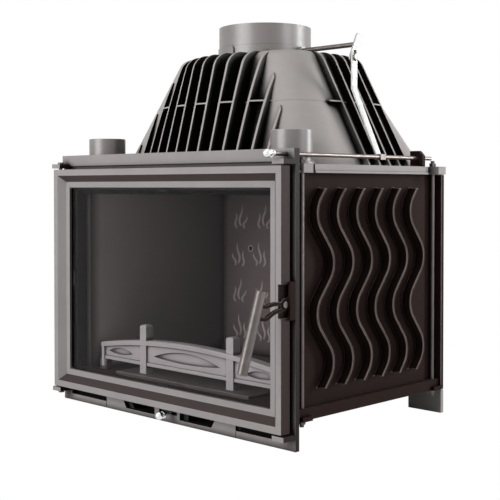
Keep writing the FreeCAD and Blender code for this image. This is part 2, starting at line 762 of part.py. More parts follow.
def damper():
    tilt = size("disc_tilt")
    blank = bar("shaft_blank", "shaft_diameter / 2", "x", "-(collar_diameter / 2 + boss_length + 2)",
                crank_x, flue_y, shaft_z)
    flat = doc.addObject("Part::Box", "shaft_flat")
    bind(flat, "Length", "disc_diameter + 2")
    bind(flat, "Width", "2 * shaft_diameter")
    bind(flat, "Height", "shaft_diameter")
    lift = "shaft_diameter / 4"
    turned(flat, tilt, (
        "-(disc_diameter + 2) / 2",
        f"{flue_y} - shaft_diameter * cos(disc_tilt * 1 deg) - {lift} * sin(disc_tilt * 1 deg)",
        f"{shaft_z} - shaft_diameter * sin(disc_tilt * 1 deg) + {lift} * cos(disc_tilt * 1 deg)"))
    keep(cut("damper_shaft", blank, flat), "damper_shaft")

    disc = doc.addObject("Part::Cylinder", "damper_disc")
    bind(disc, "Radius", "disc_diameter / 2")
    bind(disc, "Height", "disc_thick")
    turned(disc, tilt, ("0", f"{flue_y} - {lift} * sin(disc_tilt * 1 deg)",
                        f"{shaft_z} + {lift} * cos(disc_tilt * 1 deg)"))
    keep(disc, "damper_disc")

    # The crank leans with its lower end to the front
    lean = size("crank_angle")
    swing = "(crank_angle * 1 deg)"
    plate = doc.addObject("Part::Box", "crank_blank")
    bind(plate, "Length", "bar_thick")
    bind(plate, "Width", "crank_width")
    bind(plate, "Height", "crank_radius + crank_tail + crank_above")
    reach = "(crank_radius + crank_tail)"
    turned(plate, -lean, (
        crank_x,
        f"{flue_y} - crank_width / 2 * cos{swing} - {reach} * sin{swing}",
        f"{shaft_z} + crank_width / 2 * sin{swing} - {reach} * cos{swing}"))
    rounded = doc.addObject("Part::Fillet", "crank_plate")
    rounded.Base = plate
    doc.recompute()
    corner = size("crank_width") / 2 - 1
    corners = [number for number, edge in enumerate(plate.Shape.Edges, start=1)
               if abs(edge.tangentAt(edge.FirstParameter).x) > 0.99]
    rounded.Edges = [(number, corner, corner) for number in corners]
    bolt_at = (f"{flue_y} - crank_radius * sin{swing}", f"{shaft_z} - crank_radius * cos{swing}")
    hole = bar("crank_hole", "bolt_diameter / 2", "x",
               f"{crank_x} - 1", f"{crank_x} + bar_thick + 1", *bolt_at)
    keep(cut("damper_crank", rounded, hole), "damper_crank")

    outer = f"({crank_x} + 2 * bar_thick + 2 * slide_gap)"
    shank = bar("bolt_shank", "bolt_diameter / 2", "x", crank_x, outer, *bolt_at)
    head = bar("bolt_head", "bolt_diameter", "x", outer, f"{outer} + bolt_head", *bolt_at)
    keep(fuse("crank_bolt", shank, head), "crank_bolt")


# Control: a pull rod beside the hood, with an upright bar whose slot carries the crank's bolt
def control():
    rod_start = f"({door_face} - rod_front)"
    rod_end = f"({back_face} - bracket_stand + bracket_thick + rod_tail)"
    keep(bar("control_rod", "rod_diameter / 2", "y", rod_start, rod_end, rod_x, rod_z), "control_rod")

    neck = bar("knob_neck", "knob_diameter / 3", "y", f"{rod_start} - knob_neck", rod_start, rod_x, rod_z)
    ring = bar("knob_ring", "knob_diameter / 2 - 1", "y",
               f"{rod_start} - knob_neck / 2", rod_start, rod_x, rod_z)
    ball = doc.addObject("Part::Sphere", "knob_ball")
    bind(ball, "Radius", "knob_diameter / 2")
    for axis, formula in zip("xyz", (rod_x, f"{rod_start} - knob_neck - knob_diameter / 2 + 1", rod_z)):
        bind(ball, f"Placement.Base.{axis}", formula)
    keep(fuse("control_knob", neck, ring, ball), "control_knob")

    middle = f"({flue_y} - crank_radius * sin(crank_angle * 1 deg))"
    clamp_inner = f"({rod_x} - clamp_size / 2)"
    clamp = slab("clamp_block", (clamp_inner, f"{rod_x} + clamp_size / 2"),
                 (f"{middle} - bar_width / 2", f"{middle} + bar_width / 2"),
                 (f"{rod_z} - clamp_size / 2", f"{rod_z} + clamp_size / 2"))
    bore = bar("clamp_bore", "rod_diameter / 2", "y",
               f"{middle} - bar_width", f"{middle} + bar_width", rod_x, rod_z)
    keep(cut("link_clamp", clamp, bore), "link_clamp")

    # The bar stands upright at the crank, leans out below the knee and ends flat on the clamp
    level = size("floor_low") + size("floor_thick") + size("wall_height") + size("roof_thick")
    axle = level + size("hood_height") + size("shaft_rise")
    pull = level + size("rod_rise")
    thick = size("bar_thick")
    upper = size("collar_diameter") / 2 + size("crank_stand") + thick + size("slide_gap")
    rim = size("door_width") / 2 - size("shell_inset") + size("rim_reach")
    lower = rim - size("rod_inset") - size("clamp_size") / 2 - thick
    top = axle - size("crank_radius") + 3 * size("bolt_diameter")
    knee = axle - size("crank_radius") - size("bar_knee")
    half_clamp = size("clamp_size") / 2
    spine = [Vector(upper, 0, top), Vector(upper, 0, knee),
             Vector(lower, 0, pull + half_clamp), Vector(lower, 0, pull - half_clamp)]
    outline = spine + [point + Vector(thick, 0, 0) for point in reversed(spine)]
    strip = solid("bar_strip", closed_face(outline).extrude(Vector(0, size("bar_width"), 0)))
    bind(strip, "Placement.Base.y", f"{middle} - bar_width / 2")
    play = "(bolt_diameter / 2 + bolt_play)"
    low = f"{shaft_z} - crank_radius - {play}"
    slot = slab("bolt_slot", (f"{crank_x}", f"{crank_x} + 3 * bar_thick"),
                (f"{middle} - {play}", f"{middle} + {play}"), (low, f"{low} + 3.5 * bolt_diameter"))
    keep(cut("control_link", strip, slot), "control_link")

    back = f"({back_face} - bracket_stand)"
    across = (f"{rod_x} - bracket_width / 2", f"{rod_x} + bracket_width / 2")
    plate = slab("bracket_blank", across, (back, f"{back} + bracket_thick"),
                 (roof_top, f"{roof_top} + bracket_height"))
    trimmed = doc.addObject("Part::Chamfer", "bracket_plate")
    trimmed.Base = plate
    doc.recompute()
    box = plate.Shape.BoundBox
    corner = [number for number, edge in enumerate(plate.Shape.Edges, start=1)
              if edge.BoundBox.XMin > box.XMax - 0.01 and edge.BoundBox.ZMin > box.ZMax - 0.01]
    trimmed.Edges = [(number, size("bracket_cut"), size("bracket_cut")) for number in corner]
    hole = bar("bracket_bore", "rod_diameter / 2 + run_gap", "y",
               f"{back} - 1", f"{back} + bracket_thick + 1", rod_x, rod_z)
    keep(cut("rod_bracket", trimmed, hole), "rod_bracket")


# Door frame: flat rim, bevel and inner lip, with a rebate for the pane at the back
glass_edge = "(door_rim + bevel_width + lip_width - glass_lap)"
pane_edge = f"({glass_edge} + touch_gap)"


def door_box(name, inset, y):
    return slab(name, both(f"{door_half} - {inset}"), y, (f"door_base + {inset}", f"{door_top} - {inset}"))


def door():
    lip_back = f"({door_face} + bevel_depth + lip_thick)"
    tape_back = f"({lip_back} + tape_thick)"
    blank = door_box("door_blank", "0", (door_face, door_back))
    bevel = doc.addObject("Part::Wedge", "door_bevel")
    outer = "door_rim"
    inner = "(door_rim + bevel_width)"
    limits = {
        "Xmin": f"{outer} - {door_half}", "Xmax": f"{door_half} - {outer}",
        "X2min": f"{inner} - {door_half}", "X2max": f"{door_half} - {inner}",
        "Zmin": f"door_base + {outer}", "Zmax": f"{door_top} - {outer}",
        "Z2min": f"door_base + {inner}", "Z2max": f"{door_top} - {inner}",
        "Ymin": door_face, "Ymax": f"{door_face} + bevel_depth",
    }
    for limit, formula in limits.items():
        bind(bevel, limit, formula)
    sight = door_box("door_sight", "(door_rim + bevel_width + lip_width)", (door_face, f"{door_back} + 1"))
    rebate = door_box("door_rebate", glass_edge, (lip_back, f"{door_back} + 1"))
    notch = slab("latch_notch", (f"{door_half} - notch_depth", f"{door_half} + 1"),
                 (f"{door_face} - 1", f"{door_back} + 1"),
                 (f"{latch_z} - notch_below", f"{latch_z} + notch_above"))
    pin_bore = bar("latch_bore", "latch_pin / 2", "x", f"{door_half} - notch_depth - latch_pin_depth",
                   f"{door_half}", latch_y, latch_z)
    hinge_bores = [
        bar("hinge_bore_lower", "hinge_pin / 2 + run_gap", "z",
            "door_base - 1", "door_base + pin_depth + 1", f"-{hinge_x}", hinge_y),
        bar("hinge_bore_upper", "hinge_pin / 2 + run_gap", "z",
            f"{door_top} - pin_depth - 1", f"{door_top} + 1", f"-{hinge_x}", hinge_y),
    ]
    keep(cut("door_frame", blank, bevel, sight, rebate, notch, pin_bore, *hinge_bores), "door_frame")

    tape = cut("glass_tape", door_box("tape_sheet", pane_edge, (lip_back, tape_back)),
               door_box("tape_sight", "(door_rim + bevel_width + lip_width)", (door_face, door_back)))
    keep(tape, "glass_tape")
    keep(door_box("door_glass", pane_edge, (tape_back, door_back)), "door_glass")

    # Rope seal on the door's back, just clear of the front plate
    rope = (door_back, f"{plate_face} - touch_gap")
    hollow = door_box("seal_inner", "(seal_inset + seal_width)", (door_face, f"{plate_face} + 1"))
    keep(cut("door_seal", door_box("seal_outer", "seal_inset", rope), hollow), "door_seal")

    clips = []
    screws = []
    clip_y = (door_back, f"{door_back} + clip_thick")
    lap = f"({glass_edge} + 2 * clip_reach)"
    screw_in = f"({glass_edge} - clip_screw / 2 - 1)"
    frame_in = f"({glass_edge} - clip_reach)"
    middle_z = "(door_base + door_height / 2)"
    beside = (f"{middle_z} - clip_length / 2", f"{middle_z} + clip_length / 2")
    places = []
    for side, sign in (("left", -1), ("right", 1)):
        across = span(sign, f"{door_half} - {lap}", f"{door_half} - {frame_in}")
        places.append((side, across, beside, (f"{sign} * ({door_half} - {screw_in})", middle_z)))
    level_across = ("-clip_length / 2", "clip_length / 2")
    places.append(("lower", level_across, (f"door_base + {frame_in}", f"door_base + {lap}"),
                   ("0", f"door_base + {screw_in}")))
    places.append(("upper", level_across, (f"{door_top} - {lap}", f"{door_top} - {frame_in}"),
                   ("0", f"{door_top} - {screw_in}")))
    for place, across, up, at in places:
        clips.append(slab(f"clip_{place}", across, clip_y, up))
        screws.append(bar(f"clip_screw_{place}", "clip_screw / 2", "y",
                          clip_y[1], f"{clip_y[1]} + clip_thick", *at))
    keep(group("glass_clips", *clips), "glass_clips")
    keep(group("clip_screws", *screws), "clip_screws")


def hinge_pins():
    at = (f"-{hinge_x}", hinge_y)
    low = "(door_base - lug_gap - lug_thick)"
    high = f"({door_top} + lug_gap + lug_thick)"
    pins = [
        fuse("pin_lower", bar("pin_lower_stem", "hinge_pin / 2", "z", low, "door_base + pin_depth", *at),
             bar("pin_lower_head", "hinge_pin * 0.8", "z", f"{low} - pin_head", low, *at)),
        fuse("pin_upper", bar("pin_upper_stem", "hinge_pin / 2", "z", f"{door_top} - pin_depth", high, *at),
             bar("pin_upper_head", "hinge_pin * 0.8", "z", high, f"{high} + pin_head", *at)),
    ]
    keep(group("hinge_pins", *pins), "hinge_pins")


# A strip of even width along a path of points, rounded where it turns, in the plane X = 0
def bent_strip(points, width, bend):
    edges = []
    start = points[0]
    for before, corner, after in zip(points, points[1:], points[2:]):
        inward = (before - corner).normalize()
        onward = (after - corner).normalize()
        half_turn = inward.getAngle(onward) / 2
        setback = bend / math.tan(half_turn)
        centre = corner + (inward + onward).normalize() * (bend / math.sin(half_turn))
        apex = centre + (corner - centre).normalize() * bend
        edges.append(Part.makeLine(start, corner + inward * setback))
        edges.append(Part.Arc(corner + inward * setback, apex, corner + onward * setback).toShape())
        start = corner + onward * setback
    edges.append(Part.makeLine(start, points[-1]))
    sides = []
    for side in (-1, 1):
        normal = Vector(1, 0, 0)
        moved = []
        for edge in edges:
            ends = []
            start, finish = edge.ParameterRange
            for parameter in (start, (start + finish) / 2, finish):
                across = normal.cross(edge.tangentAt(parameter)).normalize()
                ends.append(edge.valueAt(parameter) + across * (side * width / 2))
            if edge.Curve.TypeId == "Part::GeomLine":
                moved.append(Part.makeLine(ends[0], ends[2]))
            else:
                moved.append(Part.Arc(*ends).toShape())
        opening = moved[0].valueAt(moved[0].FirstParameter)
        closing = moved[-1].valueAt(moved[-1].LastParameter)
        sides.append((moved, opening, closing))
    (first, first_start, first_end), (second, second_start, second_end) = sides
    caps = [Part.makeLine(first_start, second_start), Part.makeLine(first_end, second_end)]
    return Part.Face(Part.Wire(Part.__sortEdges__(first + second + caps)))


# Latch lever: hub on the pin and a two-pronged neck to the grip, with a hook that goes behind the keeper
def latch():
    thick = size("lever_thick")
    hub_radius = size("lever_hub") / 2
    stand = size("grip_stand") + size("latch_setback")
    hook_start = size("hook_start")
    keeper_y = size("door_thick") - size("latch_setback") + size("door_gap") - size("keeper_reach")
    pin_radius = size("keeper_pin") / 2
    tip_front = keeper_y + pin_radius + size("hook_gap")
    tip_back = tip_front + size("hook_thick")
    tip_top = hub_radius - pin_radius - size("hook_rest")
    arm_low = 3 - size("hook_arm")
    corners = [(hook_start, arm_low), (tip_back - 3, arm_low), (tip_back, arm_low + 3), (tip_back, tip_top - 2),
               (tip_back - 2, tip_top), (tip_front, tip_top), (tip_front, 3), (hook_start, 3)]
    hook = closed_face([Vector(0, along, up) for along, up in corners]).extrude(Vector(thick, 0, 0))
    prongs = []
    for rise, dip in ((1, 3), (-14, -19)):
        path = [Vector(0, -2, rise / 2), Vector(0, -stand * 0.38, rise + 2),
                Vector(0, -stand * 0.72, dip - 4), Vector(0, -stand, dip)]
        strip = bent_strip(path, size("prong_width"), size("prong_bend"))
        prongs.append(strip.extrude(Vector(thick, 0, 0)))
    hub = Part.makeCylinder(hub_radius, thick, Vector(), Vector(1, 0, 0))
    bore_radius = size("latch_pin") / 2 + size("run_gap")
    bore = Part.makeCylinder(bore_radius, 3 * thick, Vector(-thick, 0, 0), Vector(1, 0, 0))
    flat = Part.makeBox(3 * thick, hub_radius, 3 * hub_radius, Vector(-thick, hook_start, -1.5 * hub_radius))
    shape = hub.multiFuse(prongs).cut([bore, flat]).removeSplitter()
    lever_x = f"({door_half} - notch_depth + slide_gap)"
    lever = solid("latch_lever", shape)
    arm = solid("latch_hook", hook)
    for item in (lever, arm):
        for axis, formula in zip("xyz", (lever_x, latch_y, latch_z)):
            bind(item, f"Placement.Base.{axis}", formula)
    keep(lever, "latch_lever")
    keep(arm, "latch_hook")

    # The grip leans out at its foot and is pierced by the two prongs
    rod = doc.addObject("Part::Cylinder", "grip_rod")
    bind(rod, "Radius", "grip_diameter / 2")
    bind(rod, "Height", "grip_above + grip_below")
    lean = "(grip_lean * 1 deg)"
    turned(rod, -size("grip_lean"), (
        f"{lever_x} + lever_thick / 2",
        f"{door_face} - grip_stand - grip_below * sin{lean}",
        f"{latch_z} - grip_below * cos{lean}"))
    keep(cut("handle_grip", rod, lever), "handle_grip")

    pin_start = f"({door_half} - notch_depth - latch_pin_depth)"
    pin_face = f"({lever_x} + lever_thick + slide_gap)"
    stem = bar("latch_stem", "latch_pin / 2", "x", pin_start, pin_face, latch_y, latch_z)
    head = bar("latch_head", "latch_pin * 0.75", "x",
               pin_face, f"{pin_face} + latch_pin / 4", latch_y, latch_z)
    keep(fuse("latch_pin", stem, head), "latch_pin")

    keeper_x = f"({plate_half} - keeper_thick)"
    plate = slab("keeper_plate", (keeper_x, plate_half), (f"{plate_face} - keeper_depth", plate_face),
                 (f"{latch_z} - notch_below - 4", f"{latch_z} + notch_above + 4"))
    pin = bar("keeper_pin", "keeper_pin / 2", "x", lever_x, f"{keeper_x} + 1",
              f"{plate_face} - keeper_reach", f"{latch_z} + lever_hub / 2")
    keep(fuse("latch_keeper", plate, pin), "latch_keeper")


# Lining, fireback, baffle and the duct that washes the pane with air
lining_outer = f"({shell_half} - shell_wall - lining_gap)"
lining_inner = f"({shell_half} - shell_wall - lining_gap - lining_thick)"
lining_top = f"({roof_low} - lining_drop)"


def lining():
    back_front = f"({back_face} - lining_thick)"
    for side, sign in (("left", -1), ("right", 1)):
        across = span(sign, lining_inner, lining_outer)
        along = (f"{plate_back} + lining_front", back_front)
        keep(slab(f"lining_{side}", across, along, (floor_top, lining_top)), f"lining_{side}")
    rear = slab("fireback_blank", both(lining_outer), (back_front, back_face), (floor_top, lining_top))
    holes = []
    for number in range(6):
        holes.append(bar(f"fireback_hole_{number}", "air_hole / 2", "y",
                         f"{back_front} - 1", f"{back_face} + 1",
                         f"({number} - 2.5) * air_hole_pitch", f"{floor_top} + air_hole_rise"))
    keep(cut("fireback", rear, *holes), "fireback")
    keep(slab("baffle_plate", both(lining_outer), (f"{back_face} - baffle_depth", back_face),
              (lining_top, f"{lining_top} + baffle_thick")), "baffle_plate")

    half = f"({door_half} - mouth_margin)"
    rear = f"{plate_back} + duct_depth"
    low = f"{roof_low} - duct_height"
    shell = slab("duct_block", both(half), (f"{plate_back} + duct_slot", rear), (low, roof_low))
    inside = slab("duct_inside", both(f"{half} - duct_sheet"), (plate_back, f"{rear} - duct_sheet"),
                  (f"{low} + duct_sheet", f"{roof_low} + 1"))
    keep(cut("airwash_duct", shell, inside), "airwash_duct")


# Face between two arcs over the same ends, in the plane Y = 0
def lens(left, right, level, rise, dip):
    first = Vector(left, 0, level)
    last = Vector(right, 0, level)
    middle = (left + right) / 2
    upper = Part.Arc(first, Vector(middle, 0, level + rise), last).toShape()
    lower = Part.Arc(last, Vector(middle, 0, level - dip), first).toShape()
    return Part.Face(Part.Wire([upper, lower]))


# Arched panel with a rail along its top, a bead along its foot and three sunk lens shapes on its front
def guard_casting():
    half = size("guard_width") / 2
    low = size("guard_low")
    ends = low + size("guard_end_height")
    thick = size("guard_thick")
    arches = []
    for drop in (0, size("guard_rail")):
        arches.append(Part.Arc(Vector(-half, 0, ends - drop), Vector(0, 0, ends - drop + size("guard_crown")),
                               Vector(half, 0, ends - drop)).toShape())
    sides = Part.makePolygon([Vector(-half, 0, ends), Vector(-half, 0, low), Vector(half, 0, low),
                              Vector(half, 0, ends)])
    panel = Part.Face(Part.Wire([arches[0]] + sides.Edges)).extrude(Vector(0, thick, 0))
    caps = [Part.makeLine(Vector(side, 0, ends), Vector(side, 0, ends - size("guard_rail")))
            for side in (-half, half)]
    rail = Part.Face(Part.Wire(Part.__sortEdges__(arches + caps)))
    proud = size("guard_rail_proud")
    rail = rail.extrude(Vector(0, thick + 2 * proud, 0))
    rail.translate(Vector(0, -proud, 0))
    proud = size("guard_bead_proud")
    bead = Part.makeBox(2 * half, thick + 2 * proud, size("guard_bead"), Vector(-half, -proud, low))
    field = low + size("guard_bead")
    height = ends - field
    sinks = [lens(-0.37 * half, 0.37 * half, field + 0.52 * height, 0.6 * height, 0.2 * height)]
    for side in (-1, 1):
        limits = sorted((side * 0.62 * half, side * 0.92 * half))
        sinks.append(lens(*limits, field + 0.42 * height, 0.32 * height, 0.2 * height))
    cutters = [face.extrude(Vector(0, size("guard_recess"), 0)) for face in sinks]
    return panel.multiFuse([rail, bead]).cut(cutters).removeSplitter()


# Fire bed: slotted grate, log guard and the two seats that hold its ends
def fire_bed():
    grate_top = f"({floor_top} + grate_thick)"
    front = f"({plate_back} + grate_front)"
    deck = slab("grate_deck", both("grate_width / 2"), (front, f"{front} + grate_depth"),
                (floor_top, grate_top))
    slots = []
    middle = f"({plate_back} + well_setback + well_depth / 2)"
    for row in (-1, 1):
        for number in range(13):
            place = f"({number} - 6) * slot_pitch"
            along = span(row, "slot_width", "slot_width + slot_length")
            slots.append(slab(f"grate_slot_{number}_{row + 1}",
                              (f"{place} - slot_width / 2", f"{place} + slot_width / 2"),
                              (f"{middle} + {along[0]}", f"{middle} + {along[1]}"),
                              (f"{floor_top} - 1", f"{grate_top} + 1")))
    keep(cut("fire_grate", deck, *slots), "fire_grate")

    panel = solid("guard_panel", guard_casting())
    guard_y = f"({plate_back} + guard_setback)"
    bind(panel, "Placement.Base.y", guard_y)
    bind(panel, "Placement.Base.z", grate_top)
    middle_y = f"({guard_y} + guard_thick / 2)"
    posts = []
    for side, sign in (("left", -1), ("right", 1)):
        across = (f"{sign} * post_spread - post_size / 2", f"{sign} * post_spread + post_size / 2")
        post = slab(f"post_blank_{side}", across,
                    (f"{middle_y} - post_size / 2", f"{middle_y} + post_size / 2"),
                    (grate_top, f"{grate_top} + post_height"))
        eased = doc.addObject("Part::Chamfer", f"post_{side}")
        eased.Base = post
        doc.recompute()
        top = post.Shape.BoundBox.ZMax
        crown = [number for number, edge in enumerate(post.Shape.Edges, start=1)
                 if edge.BoundBox.ZMin > top - 0.01]
        eased.Edges = [(number, size("post_chamfer"), size("post_chamfer")) for number in crown]
        posts.append(eased)
    # A tongue under each end stands in a fork
    tongues = []
    tongue_front = f"({guard_y} - tongue_reach)"
    tongue_low = f"({grate_top} + guard_low - tongue_drop)"
    tongue_inner = "(guard_width / 2 - tongue_thick)"
    for side, sign in (("left", -1), ("right", 1)):
        tongues.append(slab(f"tongue_{side}", span(sign, tongue_inner, "guard_width / 2"),
                            (tongue_front, f"{guard_y} + guard_thick"),
                            (tongue_low, f"{tongue_low} + tongue_height")))
    keep(fuse("log_guard", panel, *posts, *tongues), "log_guard")

    seats = []
    for side, sign in (("left", -1), ("right", 1)):
        inner = f"({tongue_inner} - slide_gap - seat_prong)"
        outer = "(guard_width / 2 + slide_gap + seat_prong)"
        along = (tongue_front, f"{tongue_front} + seat_depth")
        block = slab(f"seat_block_{side}", span(sign, inner, outer), along,
                     (floor_top, f"{floor_top} + seat_height"))
        slot = slab(f"seat_slot_{side}", span(sign, f"{inner} + seat_prong", f"{outer} - seat_prong"),
                    (f"{along[0]} - 1", f"{along[1]} + 1"), (tongue_low, f"{floor_top} + seat_height + 1"))
        seats.append(cut(f"seat_{side}", block, slot))
    keep(group("guard_seats", *seats), "guard_seats")


# Air chamber under the floor, with the ash pan and the air slider
def air_chamber():
    half = "(ash_width / 2)"
    shell = slab("ash_shell", both(half), (plate_back, f"{plate_back} + ash_depth"), ("ash_low", "floor_low"))
    inside = slab("ash_inside", both(f"{half} - ash_wall"),
                  (f"{plate_back} - 1", f"{plate_back} + ash_depth - ash_wall"),
                  ("ash_low + ash_wall", "floor_low + 1"))
    keep(cut("ash_box", shell, inside), "ash_box")

    bed = "(ash_low + ash_wall)"
    well = f"({plate_back} + well_setback)"
    pan_y = (f"{well} + pan_margin", f"{well} + well_depth - pan_margin")
    pan_half = "(well_width / 2 - pan_margin)"
    tray = slab("pan_block", both(pan_half), pan_y, (bed, f"{bed} + pan_height"))
    hollow = slab("pan_hollow", both(f"{pan_half} - pan_wall"),
                  (f"{pan_y[0]} + pan_wall", f"{pan_y[1]} - pan_wall"),
                  (f"{bed} + pan_wall", f"{bed} + pan_height + 1"))
    keep(cut("ash_pan", tray, hollow), "ash_pan")

    slide_y = (f"{plate_back} + touch_gap", f"{plate_back} + touch_gap + slider_thick")
    slide_low = f"({bed} + touch_gap)"
    plate = slab("slider_plate", ("slider_rest - slider_half", "slider_rest + slider_half"), slide_y,
                 (slide_low, f"{slide_low} + slider_height"))
    through = (f"{slide_y[0]} - 1", f"{slide_y[1]} + 1")
    ports = [window(f"slider_window_{side}", sign, "slider_rest", "window_near", "window_low",
                    "window_low + window_height - slider_thick", through)
             for side, sign in (("left", -1), ("right", 1))]
    keep(cut("air_slider", plate, *ports), "air_slider")

    rail_front = f"({slide_y[1]} + touch_gap)"
    keep(slab("slider_rail", both("(slider_half + rail_extra)"), (rail_front, f"{rail_front} + rail_thick"),
              (f"{slide_low} + slider_height - slider_thick", "floor_low")), "slider_rail")

    knob_face = f"({plate_face} - air_knob_stand)"
    at = ("slider_rest", "stem_height")
    stem = bar("air_stem", "stem_diameter / 2", "y", knob_face, slide_y[0], *at)
    ring = bar("air_ring", "knob_diameter / 2 - 1", "y", f"{knob_face} + knob_diameter / 2",
               f"{knob_face} + knob_diameter / 2 + knob_neck / 2", *at)
    ball = doc.addObject("Part::Sphere", "air_ball")
    bind(ball, "Radius", "knob_diameter / 2")
    for axis, formula in zip("xyz", (at[0], knob_face, at[1])):
        bind(ball, f"Placement.Base.{axis}", formula)
    keep(fuse("air_knob", stem, ring, ball), "air_knob")


front_plate()
shell_plates()
floor_and_roof()
tie_rods()
hood()
collar_and_spigots()
damper()
control()
door()
hinge_pins()
latch()
lining()
fire_bed()
air_chamber()
doc.recompute()

# Nothing is written unless every object is sound
for item in doc.Objects:
    if {"Invalid", "Error"} & set(item.State):
        raise RuntimeError(f"{item.Name} failed: {item.State}")
for node in nodes:
    if node.Shape.isNull() or not node.Shape.isValid() or not node.Shape.Solids:
        raise RuntimeError(f"{node.Label} has no valid solid")

os.makedirs("parts", exist_ok=True)
for node in nodes:
    node.Shape.exportStep(f"parts/{node.Label}.step")
print(f"{len(nodes)} sub-parts written")
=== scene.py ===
import json
import math

import bmesh
import bpy
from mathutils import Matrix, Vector


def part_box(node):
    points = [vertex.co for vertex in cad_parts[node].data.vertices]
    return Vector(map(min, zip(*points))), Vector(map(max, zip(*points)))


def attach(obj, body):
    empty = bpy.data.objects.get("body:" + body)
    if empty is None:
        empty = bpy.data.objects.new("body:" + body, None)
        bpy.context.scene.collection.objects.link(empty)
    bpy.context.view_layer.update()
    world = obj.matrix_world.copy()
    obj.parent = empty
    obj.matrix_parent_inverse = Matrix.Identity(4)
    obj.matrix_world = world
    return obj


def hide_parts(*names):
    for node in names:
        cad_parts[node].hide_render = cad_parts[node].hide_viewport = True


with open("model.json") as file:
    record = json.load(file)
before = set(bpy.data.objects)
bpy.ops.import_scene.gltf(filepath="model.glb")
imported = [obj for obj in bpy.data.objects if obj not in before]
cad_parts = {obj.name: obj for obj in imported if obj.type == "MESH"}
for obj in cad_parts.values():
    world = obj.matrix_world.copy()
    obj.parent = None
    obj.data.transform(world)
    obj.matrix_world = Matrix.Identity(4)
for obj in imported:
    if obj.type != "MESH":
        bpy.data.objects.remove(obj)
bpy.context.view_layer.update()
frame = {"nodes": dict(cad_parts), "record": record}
record = frame["record"]
bodyOf = {node: body for body, nodes in record["behaviour"]["bodies"].items() for node in nodes}
scene = bpy.context.scene
scene.view_settings.view_transform = "Standard"


def linear(hexText):  # sRGB hex to linear light
    parts = [int(hexText[i:i + 2], 16) / 255 for i in (1, 3, 5)]
    return tuple(c / 12.92 if c <= 0.04045 else ((c + 0.055) / 1.055) ** 2.4 for c in parts) + (1.0,)


# adds a node; an input may be a plain value or another node's socket
# (a colour Mix has its share in input 0, its colours in 6 and 7, and the result in output 2)
def addNode(tree, kind, inputs=None, **settings):
    made = tree.nodes.new(kind)
    for name, value in settings.items():
        setattr(made, name, value)
    for key, value in (inputs or {}).items():
        if isinstance(value, bpy.types.NodeSocket):
            tree.links.new(value, made.inputs[key])
        else:
            made.inputs[key].default_value = value
    return made


def newMaterial(name):
    made = bpy.data.materials.new(name)
    made.use_nodes = True
    made.node_tree.nodes.clear()
    return made, made.node_tree


def perMetre(millimetres):  # texture scale for a pattern of this size
    return 1000 / millimetres


# camera where the photograph was taken: to the right of the door, low, long lens
view = {"place": (1.581, -1.551, 0.471), "heading": 44.35, "tilt": 1.2,
        "film": 36, "lens": 75.4, "rise": -0.082, "farthest": 60}
camera = bpy.data.objects.new("camera", bpy.data.cameras.new("camera"))
camera.location = view["place"]
camera.rotation_euler = (math.radians(90 - view["tilt"]), 0, math.radians(view["heading"]))
camera.data.sensor_width = view["film"]
camera.data.lens = view["lens"]
camera.data.shift_y = view["rise"]
camera.data.clip_end = view["farthest"]
scene.collection.objects.link(camera)
scene.camera = camera

# softboxes: place, aim, size in metres, watts
lamps = {
    "keySoftbox": {"place": (-0.7, -3.1, 1.1), "aim": (0, 0, 0.4), "size": (2.2, 1.9), "power": 94},
    "topSoftbox": {"place": (0.5, -1.0, 2.9), "aim": (0, 0, 0.4), "size": (1.6, 1.6), "power": 17},
    "sideSoftbox": {"place": (3.15, 0.6, 1.5), "aim": (0, 0, 0.5), "size": (1.0, 1.2), "power": 30},
    "rimStrip": {"place": (1.8, 2.2, 1.1), "aim": (0.1, 0, 0.6), "size": (0.5, 1.8), "power": 60},
}
for name, lamp in lamps.items():
    light = bpy.data.lights.new(name, "AREA")
    light.shape = "RECTANGLE"
    light.size, light.size_y = lamp["size"]
    light.energy = lamp["power"]
    made = bpy.data.objects.new(name, light)
    made.location = lamp["place"]
    aim = Vector(lamp["aim"]) - Vector(lamp["place"])
    made.rotation_euler = aim.to_track_quat("-Z", "Y").to_euler()
    scene.collection.objects.link(made)


# 1 for rays that show a thing, straight on, mirrored or through glass; 0 for rays that light one
def showingRay(tree):
    ray = addNode(tree, "ShaderNodeLightPath").outputs
    mirrored = addNode(tree, "ShaderNodeMath", {
        0: ray["Is Glossy Ray"], 1: ray["Is Transmission Ray"]}, operation="MAXIMUM")
    return addNode(tree, "ShaderNodeMath", {
        0: ray["Is Camera Ray"], 1: mirrored.outputs[0]}, operation="MAXIMUM").outputs[0]


# world: white where it is seen or mirrored, a low fill elsewhere
fillLight = 0.06
world = bpy.data.worlds.new("studioWorld")
scene.world = world
world.use_nodes = True
tree = world.node_tree
tree.nodes.clear()
level = addNode(tree, "ShaderNodeMapRange", {"Value": showingRay(tree), "To Min": fillLight})
sky = addNode(tree, "ShaderNodeBackground", {"Color": (1, 1, 1, 1), "Strength": level.outputs[0]})
addNode(tree, "ShaderNodeOutputWorld", {"Surface": sky.outputs[0]})
print("camera and lamps placed")

